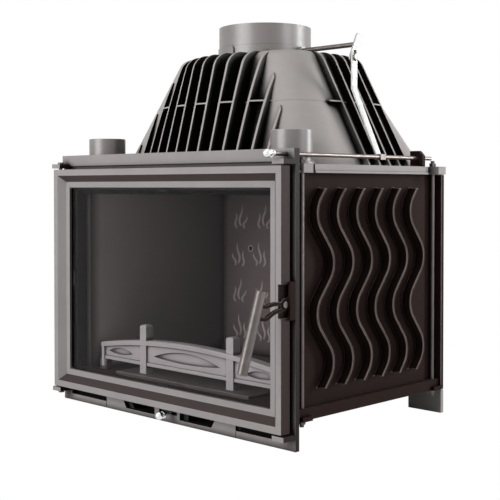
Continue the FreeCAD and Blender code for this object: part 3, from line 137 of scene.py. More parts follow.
# pale floor: keeps the shadow under the body, its colour there painted darker as painted shadow, and turns
# plain white further out.
# low and high are the X and Y of the shaded part; edge and fadeEnd are shares of its half size; clear is how
# white it is beside it
floorSizes = {"reach": 9.0, "low": (-0.32, -0.12), "high": (0.12, 0.25), "edge": (0.84, 1.02),
              "clear": 0.94, "fadeEnd": 1.4, "shadowGrey": "#4a4745", "paleGrey": "#cfcfcf"}
floorLook, tree = newMaterial("paleStudioFloor")
place = addNode(tree, "ShaderNodeTexCoord").outputs["Object"]
half = [(high - low) / 2 for low, high in zip(floorSizes["low"], floorSizes["high"])]
middle = [(high + low) / 2 for low, high in zip(floorSizes["low"], floorSizes["high"])]
centred = addNode(tree, "ShaderNodeMapping", {
    "Vector": place, "Location": (-middle[0] / half[0], -middle[1] / half[1], 0),
    "Scale": (1 / half[0], 1 / half[1], 0)})
folded = addNode(tree, "ShaderNodeVectorMath", {0: centred.outputs[0]}, operation="ABSOLUTE")
apart = addNode(tree, "ShaderNodeSeparateXYZ", {0: folded.outputs[0]}).outputs
away = addNode(tree, "ShaderNodeMath", {0: apart["X"], 1: apart["Y"]}, operation="MAXIMUM").outputs[0]
beside = addNode(tree, "ShaderNodeMapRange", {
    "Value": away, "From Min": floorSizes["edge"][0], "From Max": floorSizes["edge"][1]},
    interpolation_type="SMOOTHSTEP")
paling = addNode(tree, "ShaderNodeMath", {0: beside.outputs[0], 1: floorSizes["clear"]}, operation="MULTIPLY")
fade = addNode(tree, "ShaderNodeMapRange", {
    "Value": away, "From Min": 1.0, "From Max": floorSizes["fadeEnd"], "To Max": 1 - floorSizes["clear"]},
    interpolation_type="SMOOTHSTEP")
white = addNode(tree, "ShaderNodeMath", {0: paling.outputs[0], 1: fade.outputs[0]}, operation="ADD")
share = addNode(tree, "ShaderNodeMath", {0: white.outputs[0], 1: showingRay(tree)}, operation="MULTIPLY")
# painted shadow: the floor is coloured darker grey under the body
shadedFloorTone = addNode(tree, "ShaderNodeMix", {
    0: beside.outputs[0], 6: linear(floorSizes["shadowGrey"]), 7: linear(floorSizes["paleGrey"])},
    data_type="RGBA")
matt = addNode(tree, "ShaderNodeBsdfDiffuse", {"Color": shadedFloorTone.outputs[2]})
glow = addNode(tree, "ShaderNodeEmission", {"Color": (1, 1, 1, 1), "Strength": 1.0})
blend = addNode(tree, "ShaderNodeMixShader", {0: share.outputs[0], 1: matt.outputs[0], 2: glow.outputs[0]})
addNode(tree, "ShaderNodeOutputMaterial", {"Surface": blend.outputs[0]})
floorMesh = bpy.data.meshes.new("studioFloor")
reach = floorSizes["reach"]
floorMesh.from_pydata([(-reach, -reach, 0), (reach, -reach, 0), (reach, reach, 0), (-reach, reach, 0)],
                      [], [(0, 1, 2, 3)])
floorMesh.materials.append(floorLook)
floor = bpy.data.objects.new("studioFloor", floorMesh)
scene.collection.objects.link(floor)
print("floor laid")

# patterns of sand-cast iron, millimetres; sand grain is near half a millimetre, drawn coarser so that it shows
ironSizes = {"cloud": 70, "sand": 2.4, "pit": 5.5, "relief": 0.8}
litFrom = (0.35, -0.94, 0.0)  # the side whose faces keep the light colour, front right; faces turned from it get painted shade
# where each effect begins and is complete
ironSpans = {
    "dust": {"From Min": 0.35, "From Max": 0.75},  # of the sand
    "matt": {"From Min": 0.3, "From Max": 0.7},
    "edgeLightening": {"From Min": 0.25, "From Max": 0.6},  # of the clouds
    "pit": {"From Min": 0.0, "From Max": 0.35, "To Min": -0.35, "To Max": 0.0},  # middle to rim, and its depth
    "facing": {"From Min": 0.62, "From Max": 0.92},  # cosine to the lit side
    "outer": {"From Min": 0.76, "From Max": 0.92},  # how open an edge lies
    "rearShadeSpan": {"From Min": -0.08, "From Max": 0.26},  # metres in Y
    "frontEdgeShadeSpan": {"From Min": -0.143, "From Max": -0.11},
}


# sand-cast iron: matt grain, cloudy tone, eased edges worn and painted lighter as a highlight, painted shade in
# recesses, between pieces and towards the rear of the fire chamber, and on the door painted shade on the faces
# that look away from the front right
def castIron(name, look):
    made, tree = newMaterial(name)
    place = addNode(tree, "ShaderNodeTexCoord").outputs
    spot = place["Object"]
    cloud = addNode(tree, "ShaderNodeTexNoise", {
        "Vector": spot, "Scale": perMetre(ironSizes["cloud"]), "Detail": 4.0, "Roughness": 0.6}).outputs["Fac"]
    sand = addNode(tree, "ShaderNodeTexNoise", {
        "Vector": spot, "Scale": perMetre(ironSizes["sand"]), "Detail": 3.0, "Roughness": 0.7}).outputs["Fac"]
    pit = addNode(tree, "ShaderNodeTexVoronoi", {
        "Vector": spot, "Scale": perMetre(ironSizes["pit"]), "Randomness": 1.0}).outputs["Distance"]
    body = addNode(tree, "ShaderNodeMix", {
        0: cloud, 6: linear(look["low"]), 7: linear(look["high"])}, data_type="RGBA")
    dust = addNode(tree, "ShaderNodeMapRange", {"Value": sand, **ironSpans["dust"], "To Max": look["dust"]})
    dusted = addNode(tree, "ShaderNodeMix", {
        0: dust.outputs[0], 6: body.outputs[2], 7: linear(look["edge"])}, data_type="RGBA")
    # painted shade: faces turned from the front right and recesses go to the dark colour
    facing = addNode(tree, "ShaderNodeVectorMath", {0: place["Normal"], 1: litFrom}, operation="DOT_PRODUCT")
    frontal = addNode(tree, "ShaderNodeMapRange", {
        "Value": facing.outputs["Value"], **ironSpans["facing"], "To Min": 1.0 - look.get("turnedAwayShade", 0.0)},
        interpolation_type="SMOOTHSTEP")
    # painted shade: ambient occlusion darkens recesses, and with beside the places next to neighbouring pieces
    hollow = addNode(tree, "ShaderNodeAmbientOcclusion", {"Distance": look["hollow"] / 1000},
                     samples=12, only_local=not look.get("beside")).outputs["AO"]
    openness = addNode(tree, "ShaderNodeMapRange", {
        "Value": hollow, "From Min": look.get("shut", 0.38), "From Max": look.get("open", 0.90)},
        interpolation_type="SMOOTHSTEP")
    # painted shade, darker towards the rear of the fire chamber and on the front edges of the linings
    depth = addNode(tree, "ShaderNodeSeparateXYZ", {0: spot}).outputs["Y"]
    rearFalloff = addNode(tree, "ShaderNodeMapRange", {
        "Value": depth, **ironSpans["rearShadeSpan"], "To Min": 1.0, "To Max": 1.0 - look.get("rearShade", 0.0)})
    frontEdgeFalloff = addNode(tree, "ShaderNodeMapRange", {
        "Value": depth, **ironSpans["frontEdgeShadeSpan"], "To Min": 1.0 - look.get("frontEdgeShade", 0.0)},
        interpolation_type="SMOOTHSTEP")
    unshadedShare = frontal
    for part in (rearFalloff, frontEdgeFalloff, openness):
        unshadedShare = addNode(tree, "ShaderNodeMath", {0: unshadedShare.outputs[0], 1: part.outputs[0]}, operation="MULTIPLY")
    shadedColour = addNode(tree, "ShaderNodeMix", {
        0: unshadedShare.outputs[0], 6: linear(look["deep"]), 7: dusted.outputs[2]}, data_type="RGBA")
    # wear and painted highlight on the eased edges, lighter, unevenly, and not on those inside a corner
    wearAndHighlight = addNode(tree, "ShaderNodeAttribute", attribute_name="wearAndHighlight")
    outer = addNode(tree, "ShaderNodeMapRange", {"Value": hollow, **ironSpans["outer"]},
                    interpolation_type="SMOOTHSTEP")
    edgeLightening = addNode(tree, "ShaderNodeMapRange", {
        "Value": cloud, **ironSpans["edgeLightening"], "To Min": look["edgeLightening"] * 0.45, "To Max": look["edgeLightening"]})
    reached = addNode(tree, "ShaderNodeMath", {
        0: wearAndHighlight.outputs["Fac"], 1: outer.outputs[0]}, operation="MULTIPLY")
    wornAndLit = addNode(tree, "ShaderNodeMath", {0: reached.outputs[0], 1: edgeLightening.outputs[0]}, operation="MULTIPLY")
    colour = addNode(tree, "ShaderNodeMix", {
        0: wornAndLit.outputs[0], 6: shadedColour.outputs[2], 7: linear(look["edge"])}, data_type="RGBA")
    matt = addNode(tree, "ShaderNodeMapRange", {
        "Value": sand, **ironSpans["matt"], "To Min": look["rough"] - 0.08, "To Max": look["rough"] + 0.1})
    pitted = addNode(tree, "ShaderNodeMapRange", {"Value": pit, **ironSpans["pit"]})
    relief = addNode(tree, "ShaderNodeMath", {0: sand, 1: pitted.outputs[0]}, operation="ADD")
    bump = addNode(tree, "ShaderNodeBump", {
        "Height": relief.outputs[0], "Strength": look["bump"], "Distance": ironSizes["relief"] / 1000})
    shade = addNode(tree, "ShaderNodeBsdfPrincipled", {
        "Base Color": colour.outputs[2], "Roughness": matt.outputs[0], "Normal": bump.outputs[0],
        "Specular IOR Level": look["shine"], "Metallic": 0.0})
    addNode(tree, "ShaderNodeOutputMaterial", {"Surface": shade.outputs[0]})
    return made


# low to high is the cloudy tone, deep the colour of the painted shade; hollow is how far the painted shade in
# recesses reaches, in millimetres, and with beside the neighbouring pieces count as well
ironLooks = {
    # the door: graphite grey in front, brown painted shade on the faces turned aside
    "sideShadedGraphiteIron": {
        "low": "#8a8685", "high": "#9b9695", "edge": "#a8a3a1", "deep": "#312524", "dust": 0.06, "edgeLightening": 0.35,
        "rough": 0.5, "shine": 0.12, "bump": 0.08, "turnedAwayShade": 1.0, "hollow": 12},
    # the same on the front plate, with brown painted shade in the gap round the door as well
    "gapShadedGraphiteIron": {
        "low": "#8a8685", "high": "#9b9695", "edge": "#a8a3a1", "deep": "#1c1413", "dust": 0.06, "edgeLightening": 0.35,
        "rough": 0.5, "shine": 0.12, "bump": 0.08, "turnedAwayShade": 1.0, "hollow": 24, "beside": True},
    # the hood: graphite, crests worn and painted lighter as a highlight, the deep gaps between the fins black
    # painted shade
    "finGraphiteIron": {
        "low": "#9c9795", "high": "#aea9a7", "edge": "#d6d1cf", "deep": "#080605", "dust": 0.06, "edgeLightening": 0.9,
        "rough": 0.5, "shine": 0.08, "bump": 0.10, "hollow": 48, "shut": 0.58, "open": 0.97},
    # heat-proof graphite paint on the top plate and the feet
    "graphiteCastIron": {
        "low": "#8d8887", "high": "#9f9a98", "edge": "#c4bfbd", "deep": "#0b0807", "dust": 0.06, "edgeLightening": 0.6,
        "rough": 0.5, "shine": 0.12, "bump": 0.10, "hollow": 42},
    # turned collar and tubes under the same paint: smoother, with a clear highlight
    "turnedCastIron": {
        "low": "#6a6563", "high": "#7a7573", "edge": "#b4afad", "deep": "#1f1a19", "dust": 0.03, "edgeLightening": 0.5,
        "rough": 0.37, "shine": 0.8, "bump": 0.04, "hollow": 20},
    # dark brown paint on the side plates, back and bottom plate, latch and rod bracket: dull, edges rubbed bare
    # and painted lighter as a highlight
    "brownCastIron": {
        "low": "#211715", "high": "#2b1f1d", "edge": "#968a84", "deep": "#0a0605", "dust": 0.03, "edgeLightening": 0.85,
        "rough": 0.55, "shine": 0.02, "bump": 0.02, "hollow": 16},
    # linings of the fire chamber: dry, with painted shade towards the rear and beside the pane
    "shadedLiningIron": {
        "low": "#b3aba8", "high": "#c1b9b6", "edge": "#b3aba8", "deep": "#2c2625", "dust": 0.02, "edgeLightening": 0.1,
        "rough": 0.6, "shine": 0.1, "bump": 0.03, "hollow": 36, "beside": True, "rearShade": 0.8, "frontEdgeShade": 0.9},
    # fireback, baffle and guard seats, sooted evenly, with painted shade in corners and beside neighbouring
    # pieces
    "sootedCastIron": {
        "low": "#6d6362", "high": "#7b7170", "edge": "#9d9391", "deep": "#2c2423", "dust": 0.02, "edgeLightening": 0.4,
        "rough": 0.6, "shine": 0.1, "bump": 0.03, "hollow": 36, "beside": True},
    # the raised ornament of the fireback, rubbed bright by the cleaning brush and painted lighter as a
    # highlight
    "brushedHighlitReliefIron": {
        "low": "#b5aeac", "high": "#cdc6c4", "edge": "#e4dedc", "deep": "#3a3332", "dust": 0.05, "edgeLightening": 0.5,
        "rough": 0.38, "shine": 0.4, "bump": 0.03, "hollow": 2},
    # grate under the fire, grey with ash
    "ashedCastIron": {
        "low": "#45403e", "high": "#575150", "edge": "#8d8683", "deep": "#141110", "dust": 0.04, "edgeLightening": 0.6,
        "rough": 0.62, "shine": 0.1, "bump": 0.05, "hollow": 10},
    # unpainted light casting of the log guard and the damper disc, with painted shade in its hollows
    "bareCastIron": {
        "low": "#a19e9e", "high": "#b3b0b0", "edge": "#cac7c6", "deep": "#3a3534", "dust": 0.05, "edgeLightening": 0.6,
        "rough": 0.5, "shine": 0.3, "bump": 0.06, "hollow": 12, "shut": 0.60, "open": 0.97},
}
finishes = {name: castIron(name, look) for name, look in ironLooks.items()}

# patterns of worked steel, millimetres; drawn lines are finer, and coarse here so that they show
steelSizes = {"lines": 1.6, "cloud": 18, "relief": 0.3}


# worked steel: fine drawn lines along the piece and a slightly uneven gloss
def workedSteel(name, look):
    made, tree = newMaterial(name)
    place = addNode(tree, "ShaderNodeTexCoord").outputs["Object"]
    stretch = addNode(tree, "ShaderNodeMapping", {"Vector": place, "Scale": look["lines"]})
    lines = addNode(tree, "ShaderNodeTexNoise", {
        "Vector": stretch.outputs[0], "Scale": perMetre(steelSizes["lines"]), "Detail": 3.0}).outputs["Fac"]
    cloud = addNode(tree, "ShaderNodeTexNoise", {
        "Vector": place, "Scale": perMetre(steelSizes["cloud"]), "Detail": 3.0}).outputs["Fac"]
    colour = addNode(tree, "ShaderNodeMix", {
        0: cloud, 6: linear(look["low"]), 7: linear(look["high"])}, data_type="RGBA")
    gloss = addNode(tree, "ShaderNodeMapRange", {
        "Value": lines, "From Min": 0.3, "From Max": 0.7,
        "To Min": look["rough"] * 0.8, "To Max": look["rough"] * 1.25})
    bump = addNode(tree, "ShaderNodeBump", {
        "Height": lines, "Strength": look["bump"], "Distance": steelSizes["relief"] / 1000})
    shade = addNode(tree, "ShaderNodeBsdfPrincipled", {
        "Base Color": colour.outputs[2], "Roughness": gloss.outputs[0], "Normal": bump.outputs[0],
        "Specular IOR Level": look.get("shine", 0.5), "Metallic": look["metal"]})
    addNode(tree, "ShaderNodeOutputMaterial", {"Surface": shade.outputs[0]})
    return made


# lines is how the drawn lines are stretched in X, Y and Z
steelLooks = {
    # zinc plate: pale, cold, with soft spangle
    "zincPlatedSteel": {"low": "#878887", "high": "#aeaeac", "rough": 0.56, "metal": 1.0,
                        "bump": 0.06, "lines": (1, 1, 0.12)},
    # polished chrome: nearly a mirror
    "chromedSteel": {"low": "#d6d7d8", "high": "#e9eaea", "rough": 0.07, "metal": 1.0,
                     "bump": 0.0, "lines": (1, 1, 1)},
    # drawn steel of the pull rod and the damper's shaft, browned by heat
    "brownedSteel": {"low": "#4f4845", "high": "#7a726e", "rough": 0.32, "metal": 0.8,
                     "bump": 0.05, "lines": (0.1, 0.1, 1)},
    # oil-blackened steel of the grip, pins, clamp, tie rods, nuts and collar bolts
    "oiledSteel": {"low": "#4b4644", "high": "#6a6462", "rough": 0.38, "metal": 0.75,
                   "bump": 0.10, "lines": (1, 1, 0.2)},
    # thin sheet blackened by smoke and dust; on the skirt sheets the black is painted shade
    "sootAndShadeBlackSteel": {"low": "#0c0b0b", "high": "#151413", "rough": 0.85, "shine": 0.05, "metal": 0.0,
                       "bump": 0.12, "lines": (1, 1, 1)},
    # matt black heat-proof paint on sheet steel
    "blackPaintedSteel": {"low": "#1b1a19", "high": "#262423", "rough": 0.6, "shine": 0.3, "metal": 0.0,
                          "bump": 0.12, "lines": (1, 1, 1)},
}
finishes.update({name: workedSteel(name, look) for name, look in steelLooks.items()})

# ceramic glass: clear, faintly hazed, and it lets lamp light through. Such glass has an IOR of 1.53, but the
# white studio in it would hide the fire chamber, so it is lower; haze is in millimetres
glassSizes = {"tint": "#f3f1f2", "bend": 1.14, "haze": 90, "film": 0.03}
finishes["ceramicGlass"], tree = newMaterial("ceramicGlass")
place = addNode(tree, "ShaderNodeTexCoord").outputs["Object"]
haze = addNode(tree, "ShaderNodeTexNoise", {
    "Vector": place, "Scale": perMetre(glassSizes["haze"]), "Detail": 3.0})
film = addNode(tree, "ShaderNodeMapRange", {"Value": haze.outputs["Fac"], "To Max": glassSizes["film"]})
pane = addNode(tree, "ShaderNodeBsdfPrincipled", {
    "Base Color": linear(glassSizes["tint"]), "Roughness": film.outputs[0], "IOR": glassSizes["bend"],
    "Transmission Weight": 1.0})
clear = addNode(tree, "ShaderNodeBsdfTransparent", {"Color": linear(glassSizes["tint"])})
ray = addNode(tree, "ShaderNodeLightPath").outputs
lit = addNode(tree, "ShaderNodeMath", {0: ray["Is Shadow Ray"], 1: ray["Is Diffuse Ray"]}, operation="MAXIMUM")
blend = addNode(tree, "ShaderNodeMixShader", {0: lit.outputs[0], 1: pane.outputs[0], 2: clear.outputs[0]})
addNode(tree, "ShaderNodeOutputMaterial", {"Surface": blend.outputs[0]})

# braided glass-fibre rope and tape: dull grey yarns, a little fuzzy. The threads are about 1 mm;
# drawn at 2 mm so that they show, and a wave texture has a band for each turn of 6.28
fibreSizes = {"thread": 2.0, "turn": 6.28, "fuzz": 1.5, "low": "#4a4846", "high": "#74716d", "relief": 0.5}
finishes["braidedGlassFibre"], tree = newMaterial("braidedGlassFibre")
place = addNode(tree, "ShaderNodeTexCoord").outputs["Object"]
thread = addNode(tree, "ShaderNodeTexWave", {
    "Vector": place, "Scale": perMetre(fibreSizes["thread"]) / fibreSizes["turn"],
    "Distortion": 1.5, "Detail": 2.0}, bands_direction="DIAGONAL").outputs["Fac"]
fuzz = addNode(tree, "ShaderNodeTexNoise", {
    "Vector": place, "Scale": perMetre(fibreSizes["fuzz"]), "Detail": 3.0}).outputs["Fac"]
colour = addNode(tree, "ShaderNodeMix", {
    0: thread, 6: linear(fibreSizes["low"]), 7: linear(fibreSizes["high"])}, data_type="RGBA")
thick = addNode(tree, "ShaderNodeMath", {0: thread, 1: fuzz}, operation="ADD")
bump = addNode(tree, "ShaderNodeBump", {
    "Height": thick.outputs[0], "Strength": 0.5, "Distance": fibreSizes["relief"] / 1000})
shade = addNode(tree, "ShaderNodeBsdfPrincipled", {
    "Base Color": colour.outputs[2], "Roughness": 0.9, "Specular IOR Level": 0.2, "Normal": bump.outputs[0]})
addNode(tree, "ShaderNodeOutputMaterial", {"Surface": shade.outputs[0]})
print("materials made:", len(finishes))


def meshObject(name, mesh):
    made = bpy.data.objects.new(name, mesh)
    scene.collection.objects.link(made)
    return made


def evaluatedMesh(worker, name):  # plain mesh of an object with its modifiers applied
    depsgraph = bpy.context.evaluated_depsgraph_get()
    mesh = bpy.data.meshes.new_from_object(worker.evaluated_get(depsgraph), depsgraph=depsgraph)
    mesh.name = name
    bpy.data.objects.remove(worker)
    return mesh


def seat(piece, body, replaced=()):
    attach(piece, body)
    if replaced:
        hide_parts(*replaced)


# vertices closer than merge metres are one; edges under flat degrees go, and those over sharp are eased
edgeSizes = {"merge": 1e-5, "flat": 0.5, "sharp": 28}


# a merged copy of a CAD node with its sharp edges eased; the eased faces carry the attribute for wear and
# painted highlight
def easedCopy(node, look):
    work = bmesh.new()
    work.from_mesh(frame["nodes"][node].data)
    bmesh.ops.remove_doubles(work, verts=work.verts, dist=edgeSizes["merge"])
    bmesh.ops.dissolve_limit(work, angle_limit=math.radians(edgeSizes["flat"]),
                             verts=work.verts, edges=work.edges)
    for face in work.faces:
        face.smooth = True
        face.material_index = 0
    mesh = bpy.data.meshes.new(look["piece"])
    work.to_mesh(mesh)
    work.free()
    mesh.materials.append(finishes[look["finish"]])
    mesh.materials.append(finishes[look["finish"]])  # a second slot, for now, tells the eased faces apart
    worker = meshObject(look["piece"] + "Work", mesh)
    easing = worker.modifiers.new("ease", "BEVEL")
    easing.width = look["ease"] / 1000
    easing.segments = look.get("steps", 2)
    easing.limit_method = "ANGLE"
    easing.angle_limit = math.radians(edgeSizes["sharp"])
    easing.material = 1
    worker.modifiers.new("evenNormals", "WEIGHTED_NORMAL")
    mesh = evaluatedMesh(worker, look["piece"])
    wearAndHighlight = mesh.attributes.new("wearAndHighlight", "FLOAT", "FACE")
    wearAndHighlight.data.foreach_set("value", [float(face.material_index == 1) for face in mesh.polygons])
    mesh.polygons.foreach_set("material_index", [0] * len(mesh.polygons))
    mesh.materials.pop(index=1)
    seat(meshObject(look["piece"], mesh), bodyOf[node], [node])


# castings and worked pieces: finish, and the size of the eased edge in millimetres
easedPieces = {
    "front_plate": {"piece": "frontPlate", "finish": "gapShadedGraphiteIron", "ease": 1.2},
    "door_frame": {"piece": "doorFrame", "finish": "sideShadedGraphiteIron", "ease": 1.2},
    "side_plate_left": {"piece": "sidePlateLeft", "finish": "brownCastIron", "ease": 1.6},
    "side_plate_right": {"piece": "sidePlateRight", "finish": "brownCastIron", "ease": 1.6},
    "back_plate": {"piece": "backPlate", "finish": "brownCastIron", "ease": 1.4},
    "rear_feet": {"piece": "rearFeet", "finish": "graphiteCastIron", "ease": 1.2},
    "top_plate": {"piece": "topPlate", "finish": "graphiteCastIron", "ease": 1.4},
    "bottom_plate": {"piece": "bottomPlate", "finish": "brownCastIron", "ease": 2.2},
    "hood": {"piece": "finnedHood", "finish": "finGraphiteIron", "ease": 1.0},
    "flue_collar": {"piece": "flueCollar", "finish": "turnedCastIron", "ease": 1.0},
    "shaft_bosses": {"piece": "shaftBosses", "finish": "turnedCastIron", "ease": 0.8},
    "air_spigot_left": {"piece": "airSpigotLeft", "finish": "turnedCastIron", "ease": 1.0},
    "air_spigot_right": {"piece": "airSpigotRight", "finish": "turnedCastIron", "ease": 1.0},
    "lining_left": {"piece": "liningLeft", "finish": "shadedLiningIron", "ease": 1.2},
    "lining_right": {"piece": "liningRight", "finish": "shadedLiningIron", "ease": 1.2},
    "fireback": {"piece": "firebackPlate", "finish": "sootedCastIron", "ease": 1.0},
    "baffle_plate": {"piece": "bafflePlate", "finish": "sootedCastIron", "ease": 1.2},
    "fire_grate": {"piece": "fireGrate", "finish": "ashedCastIron", "ease": 1.0},
    "guard_seats": {"piece": "guardSeats", "finish": "sootedCastIron", "ease": 2.2, "steps": 3},
    "log_guard": {"piece": "logGuard", "finish": "bareCastIron", "ease": 1.2},
    "damper_disc": {"piece": "damperDisc", "finish": "bareCastIron", "ease": 0.8},
    "control_link": {"piece": "controlLink", "finish": "zincPlatedSteel", "ease": 0.6},
    "link_clamp": {"piece": "linkClamp", "finish": "oiledSteel", "ease": 0.8},
    "damper_crank": {"piece": "damperCrank", "finish": "zincPlatedSteel", "ease": 0.6},
    "rod_bracket": {"piece": "rodBracket", "finish": "brownCastIron", "ease": 0.9},
    "latch_lever": {"piece": "latchLever", "finish": "brownCastIron", "ease": 1.2},
    "latch_hook": {"piece": "latchHook", "finish": "brownCastIron", "ease": 0.6},
    "latch_keeper": {"piece": "latchKeeper", "finish": "brownCastIron", "ease": 0.9},
    "handle_grip": {"piece": "handleGrip", "finish": "oiledSteel", "ease": 2.4, "steps": 4},
    "ash_box": {"piece": "ashBox", "finish": "blackPaintedSteel", "ease": 0.8},
    "ash_pan": {"piece": "ashPan", "finish": "blackPaintedSteel", "ease": 0.5},
    "air_slider": {"piece": "airSlider", "finish": "blackPaintedSteel", "ease": 0.4},
    "slider_rail": {"piece": "sliderRail", "finish": "blackPaintedSteel", "ease": 0.4},
    "airwash_duct": {"piece": "airwashDuct", "finish": "blackPaintedSteel", "ease": 0.4},
    "glass_clips": {"piece": "glassClips", "finish": "blackPaintedSteel", "ease": 0.4},
    "tie_rod_nuts": {"piece": "tieRodNuts", "finish": "oiledSteel", "ease": 0.6},
    "clip_screws": {"piece": "clipScrews", "finish": "blackPaintedSteel", "ease": 0.5},
}
for node, look in easedPieces.items():
    easedCopy(node, look)
print("eased pieces:", len(easedPieces))

# nodes whose shape is right as it is
plainNodes = {
    "tie_rods": "oiledSteel", "hinge_pins": "oiledSteel", "latch_pin": "oiledSteel",
    "damper_shaft": "brownedSteel", "crank_bolt": "zincPlatedSteel",
    "control_rod": "brownedSteel", "control_knob": "chromedSteel", "air_knob": "chromedSteel",
    "door_glass": "ceramicGlass",
}
for node, finish in plainNodes.items():
    shown = frame["nodes"][node]
    shown.data.materials.clear()
    shown.data.materials.append(finishes[finish])
print("plain nodes:", len(plainNodes))


# a geometry tree with named inputs for its sizes; gives the tree and the outputs of its input node
def geometryTree(name, inputs):
    kinds = {int: "NodeSocketInt", float: "NodeSocketFloat", tuple: "NodeSocketVector",
             bpy.types.Material: "NodeSocketMaterial"}
    tree = bpy.data.node_groups.new(name, "GeometryNodeTree")
    for label, value in inputs.items():
        tree.interface.new_socket(label, in_out="INPUT", socket_type=kinds[type(value)])
    tree.interface.new_socket("Mesh", in_out="OUTPUT", socket_type="NodeSocketGeometry")
    return tree, addNode(tree, "NodeGroupInput").outputs


# ends a tree: real mesh, one material
def endTree(tree, shape, material):
    whole = addNode(tree, "GeometryNodeRealizeInstances", {"Geometry": shape})
    dressed = addNode(tree, "GeometryNodeSetMaterial", {"Geometry": whole.outputs[0], "Material": material})
    addNode(tree, "NodeGroupOutput", {"Mesh": dressed.outputs[0]})


# plain mesh that a tree gives for these inputs, as an object
def grown(name, tree, inputs):
    worker = meshObject(name + "Work", bpy.data.meshes.new(name + "Work"))
    growth = worker.modifiers.new("growth", "NODES")
    growth.node_group = tree
    for socket in tree.interface.items_tree:
        if socket.in_out == "INPUT":
            growth[socket.identifier] = inputs[socket.name]
    return meshObject(name, evaluatedMesh(worker, name))


upright = (math.radians(90), 0, 0)  # turns what is drawn on the floor to stand across the insert


# rectangle with rounded corners that stands across the insert
def standingLoop(tree, given):
    loop = addNode(tree, "GeometryNodeCurvePrimitiveQuadrilateral", {
        "Width": given["Width"], "Height": given["Height"]})
    bent = addNode(tree, "GeometryNodeFilletCurve", {
        "Curve": loop.outputs[0], "Count": 10, "Radius": given["Corner"]}, mode="POLY")
    steps = addNode(tree, "GeometryNodeResampleCurve", {"Curve": bent.outputs[0], "Count": given["Steps"]})
    number = addNode(tree, "GeometryNodeInputIndex").outputs[0]
    twist = addNode(tree, "ShaderNodeMath", {0: number, 1: given["Twist"]}, operation="MULTIPLY")
    laid = addNode(tree, "GeometryNodeSetCurveTilt", {"Curve": steps.outputs[0], "Tilt": twist.outputs[0]})
    return addNode(tree, "GeometryNodeTransform", {
        "Geometry": laid.outputs[0], "Translation": given["Place"], "Rotation": upright}).outputs[0]


# yarns that run side by side along the standing loop; spots are where they pass through its section
def yarnsAlong(tree, given, spots):
    yarn = addNode(tree, "GeometryNodeCurvePrimitiveCircle", {"Resolution": 6, "Radius": given["Yarn"]})
    bundle = addNode(tree, "GeometryNodeInstanceOnPoints", {"Points": spots, "Instance": yarn.outputs[0]})
    section = addNode(tree, "GeometryNodeRealizeInstances", {"Geometry": bundle.outputs[0]})
    return addNode(tree, "GeometryNodeCurveToMesh", {
        "Curve": standingLoop(tree, given), "Profile Curve": section.outputs[0]}).outputs[0]


# rope seal behind the door: four strands laid round each other, millimetres
ropeSizes = {"strands": 4, "strand": 1.78, "lay": 2.52, "corner": 22, "steps": 864, "turns": 72}
low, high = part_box("door_seal")
thick = 2 * (ropeSizes["strand"] + ropeSizes["lay"]) / 1000
ropeInputs = {
    "Width": high.x - low.x - thick, "Height": high.z - low.z - thick, "Corner": ropeSizes["corner"] / 1000,
    "Steps": ropeSizes["steps"], "Twist": 2 * math.pi * ropeSizes["turns"] / ropeSizes["steps"],
    "Place": tuple((low + high) / 2), "Strands": ropeSizes["strands"], "Yarn": ropeSizes["strand"] / 1000,
    "Lay": ropeSizes["lay"] / 1000, "Fibre": finishes["braidedGlassFibre"]}
tree, given = geometryTree("ropeSealTree", ropeInputs)
ring = addNode(tree, "GeometryNodeCurvePrimitiveCircle", {
    "Resolution": given["Strands"], "Radius": given["Lay"]})
endTree(tree, yarnsAlong(tree, given, ring.outputs[0]), given["Fibre"])
seat(grown("ropeSeal", tree, ropeInputs), "door", ["door_seal"])

# flat tape under the pane: seven yarns side by side, millimetres
tapeSizes = {"yarn": 1.0, "spacing": 0.9, "yarns": 7, "corner": 9, "steps": 480}
low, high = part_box("glass_tape")
spread = tapeSizes["spacing"] * (tapeSizes["yarns"] - 1)
wide = (spread + 2 * tapeSizes["yarn"]) / 1000
tapeInputs = {
    "Width": high.x - low.x - wide, "Height": high.z - low.z - wide, "Corner": tapeSizes["corner"] / 1000,
    "Steps": tapeSizes["steps"], "Twist": 0.0, "Place": tuple((low + high) / 2),
    "Yarns": tapeSizes["yarns"], "Yarn": tapeSizes["yarn"] / 1000,
    "Spacing": (0.0, tapeSizes["spacing"] / 1000, 0.0), "Start": (0.0, -spread / 2000, 0.0),
    "Fibre": finishes["braidedGlassFibre"]}
tree, given = geometryTree("glassTapeTree", tapeInputs)
row = addNode(tree, "GeometryNodeMeshLine", {
    "Count": given["Yarns"], "Start Location": given["Start"], "Offset": given["Spacing"]})
endTree(tree, yarnsAlong(tree, given, row.outputs[0]), given["Fibre"])
seat(grown("glassTape", tree, tapeInputs), "door", ["glass_tape"])
print("rope seal and tape laid")

# flames cast on the fireback in loose rows, three strokes each, and a ring round each air hole, millimetres.
# wave is in radians along a stroke, calm is the swing left at its tip, taper its thickness from foot to tip
flameSizes = {"columns": 7, "rows": 4, "pitch": 78, "rise": 88, "low": 44, "height": 52, "swing": 6,
              "bead": 3.0, "sides": 8, "steps": 19, "wave": 5.6, "calm": 0.55,
              "taper": ((0.0, 0.25), (0.3, 1.0), (1.0, 0.08)), "stray": (10, 0, 16), "seed": 11, "leafDrop": 6,
              "ring": 7.5, "ringBead": 1.3, "ringSteps": 28, "holes": 6, "holePitch": 78, "holeRise": 254}
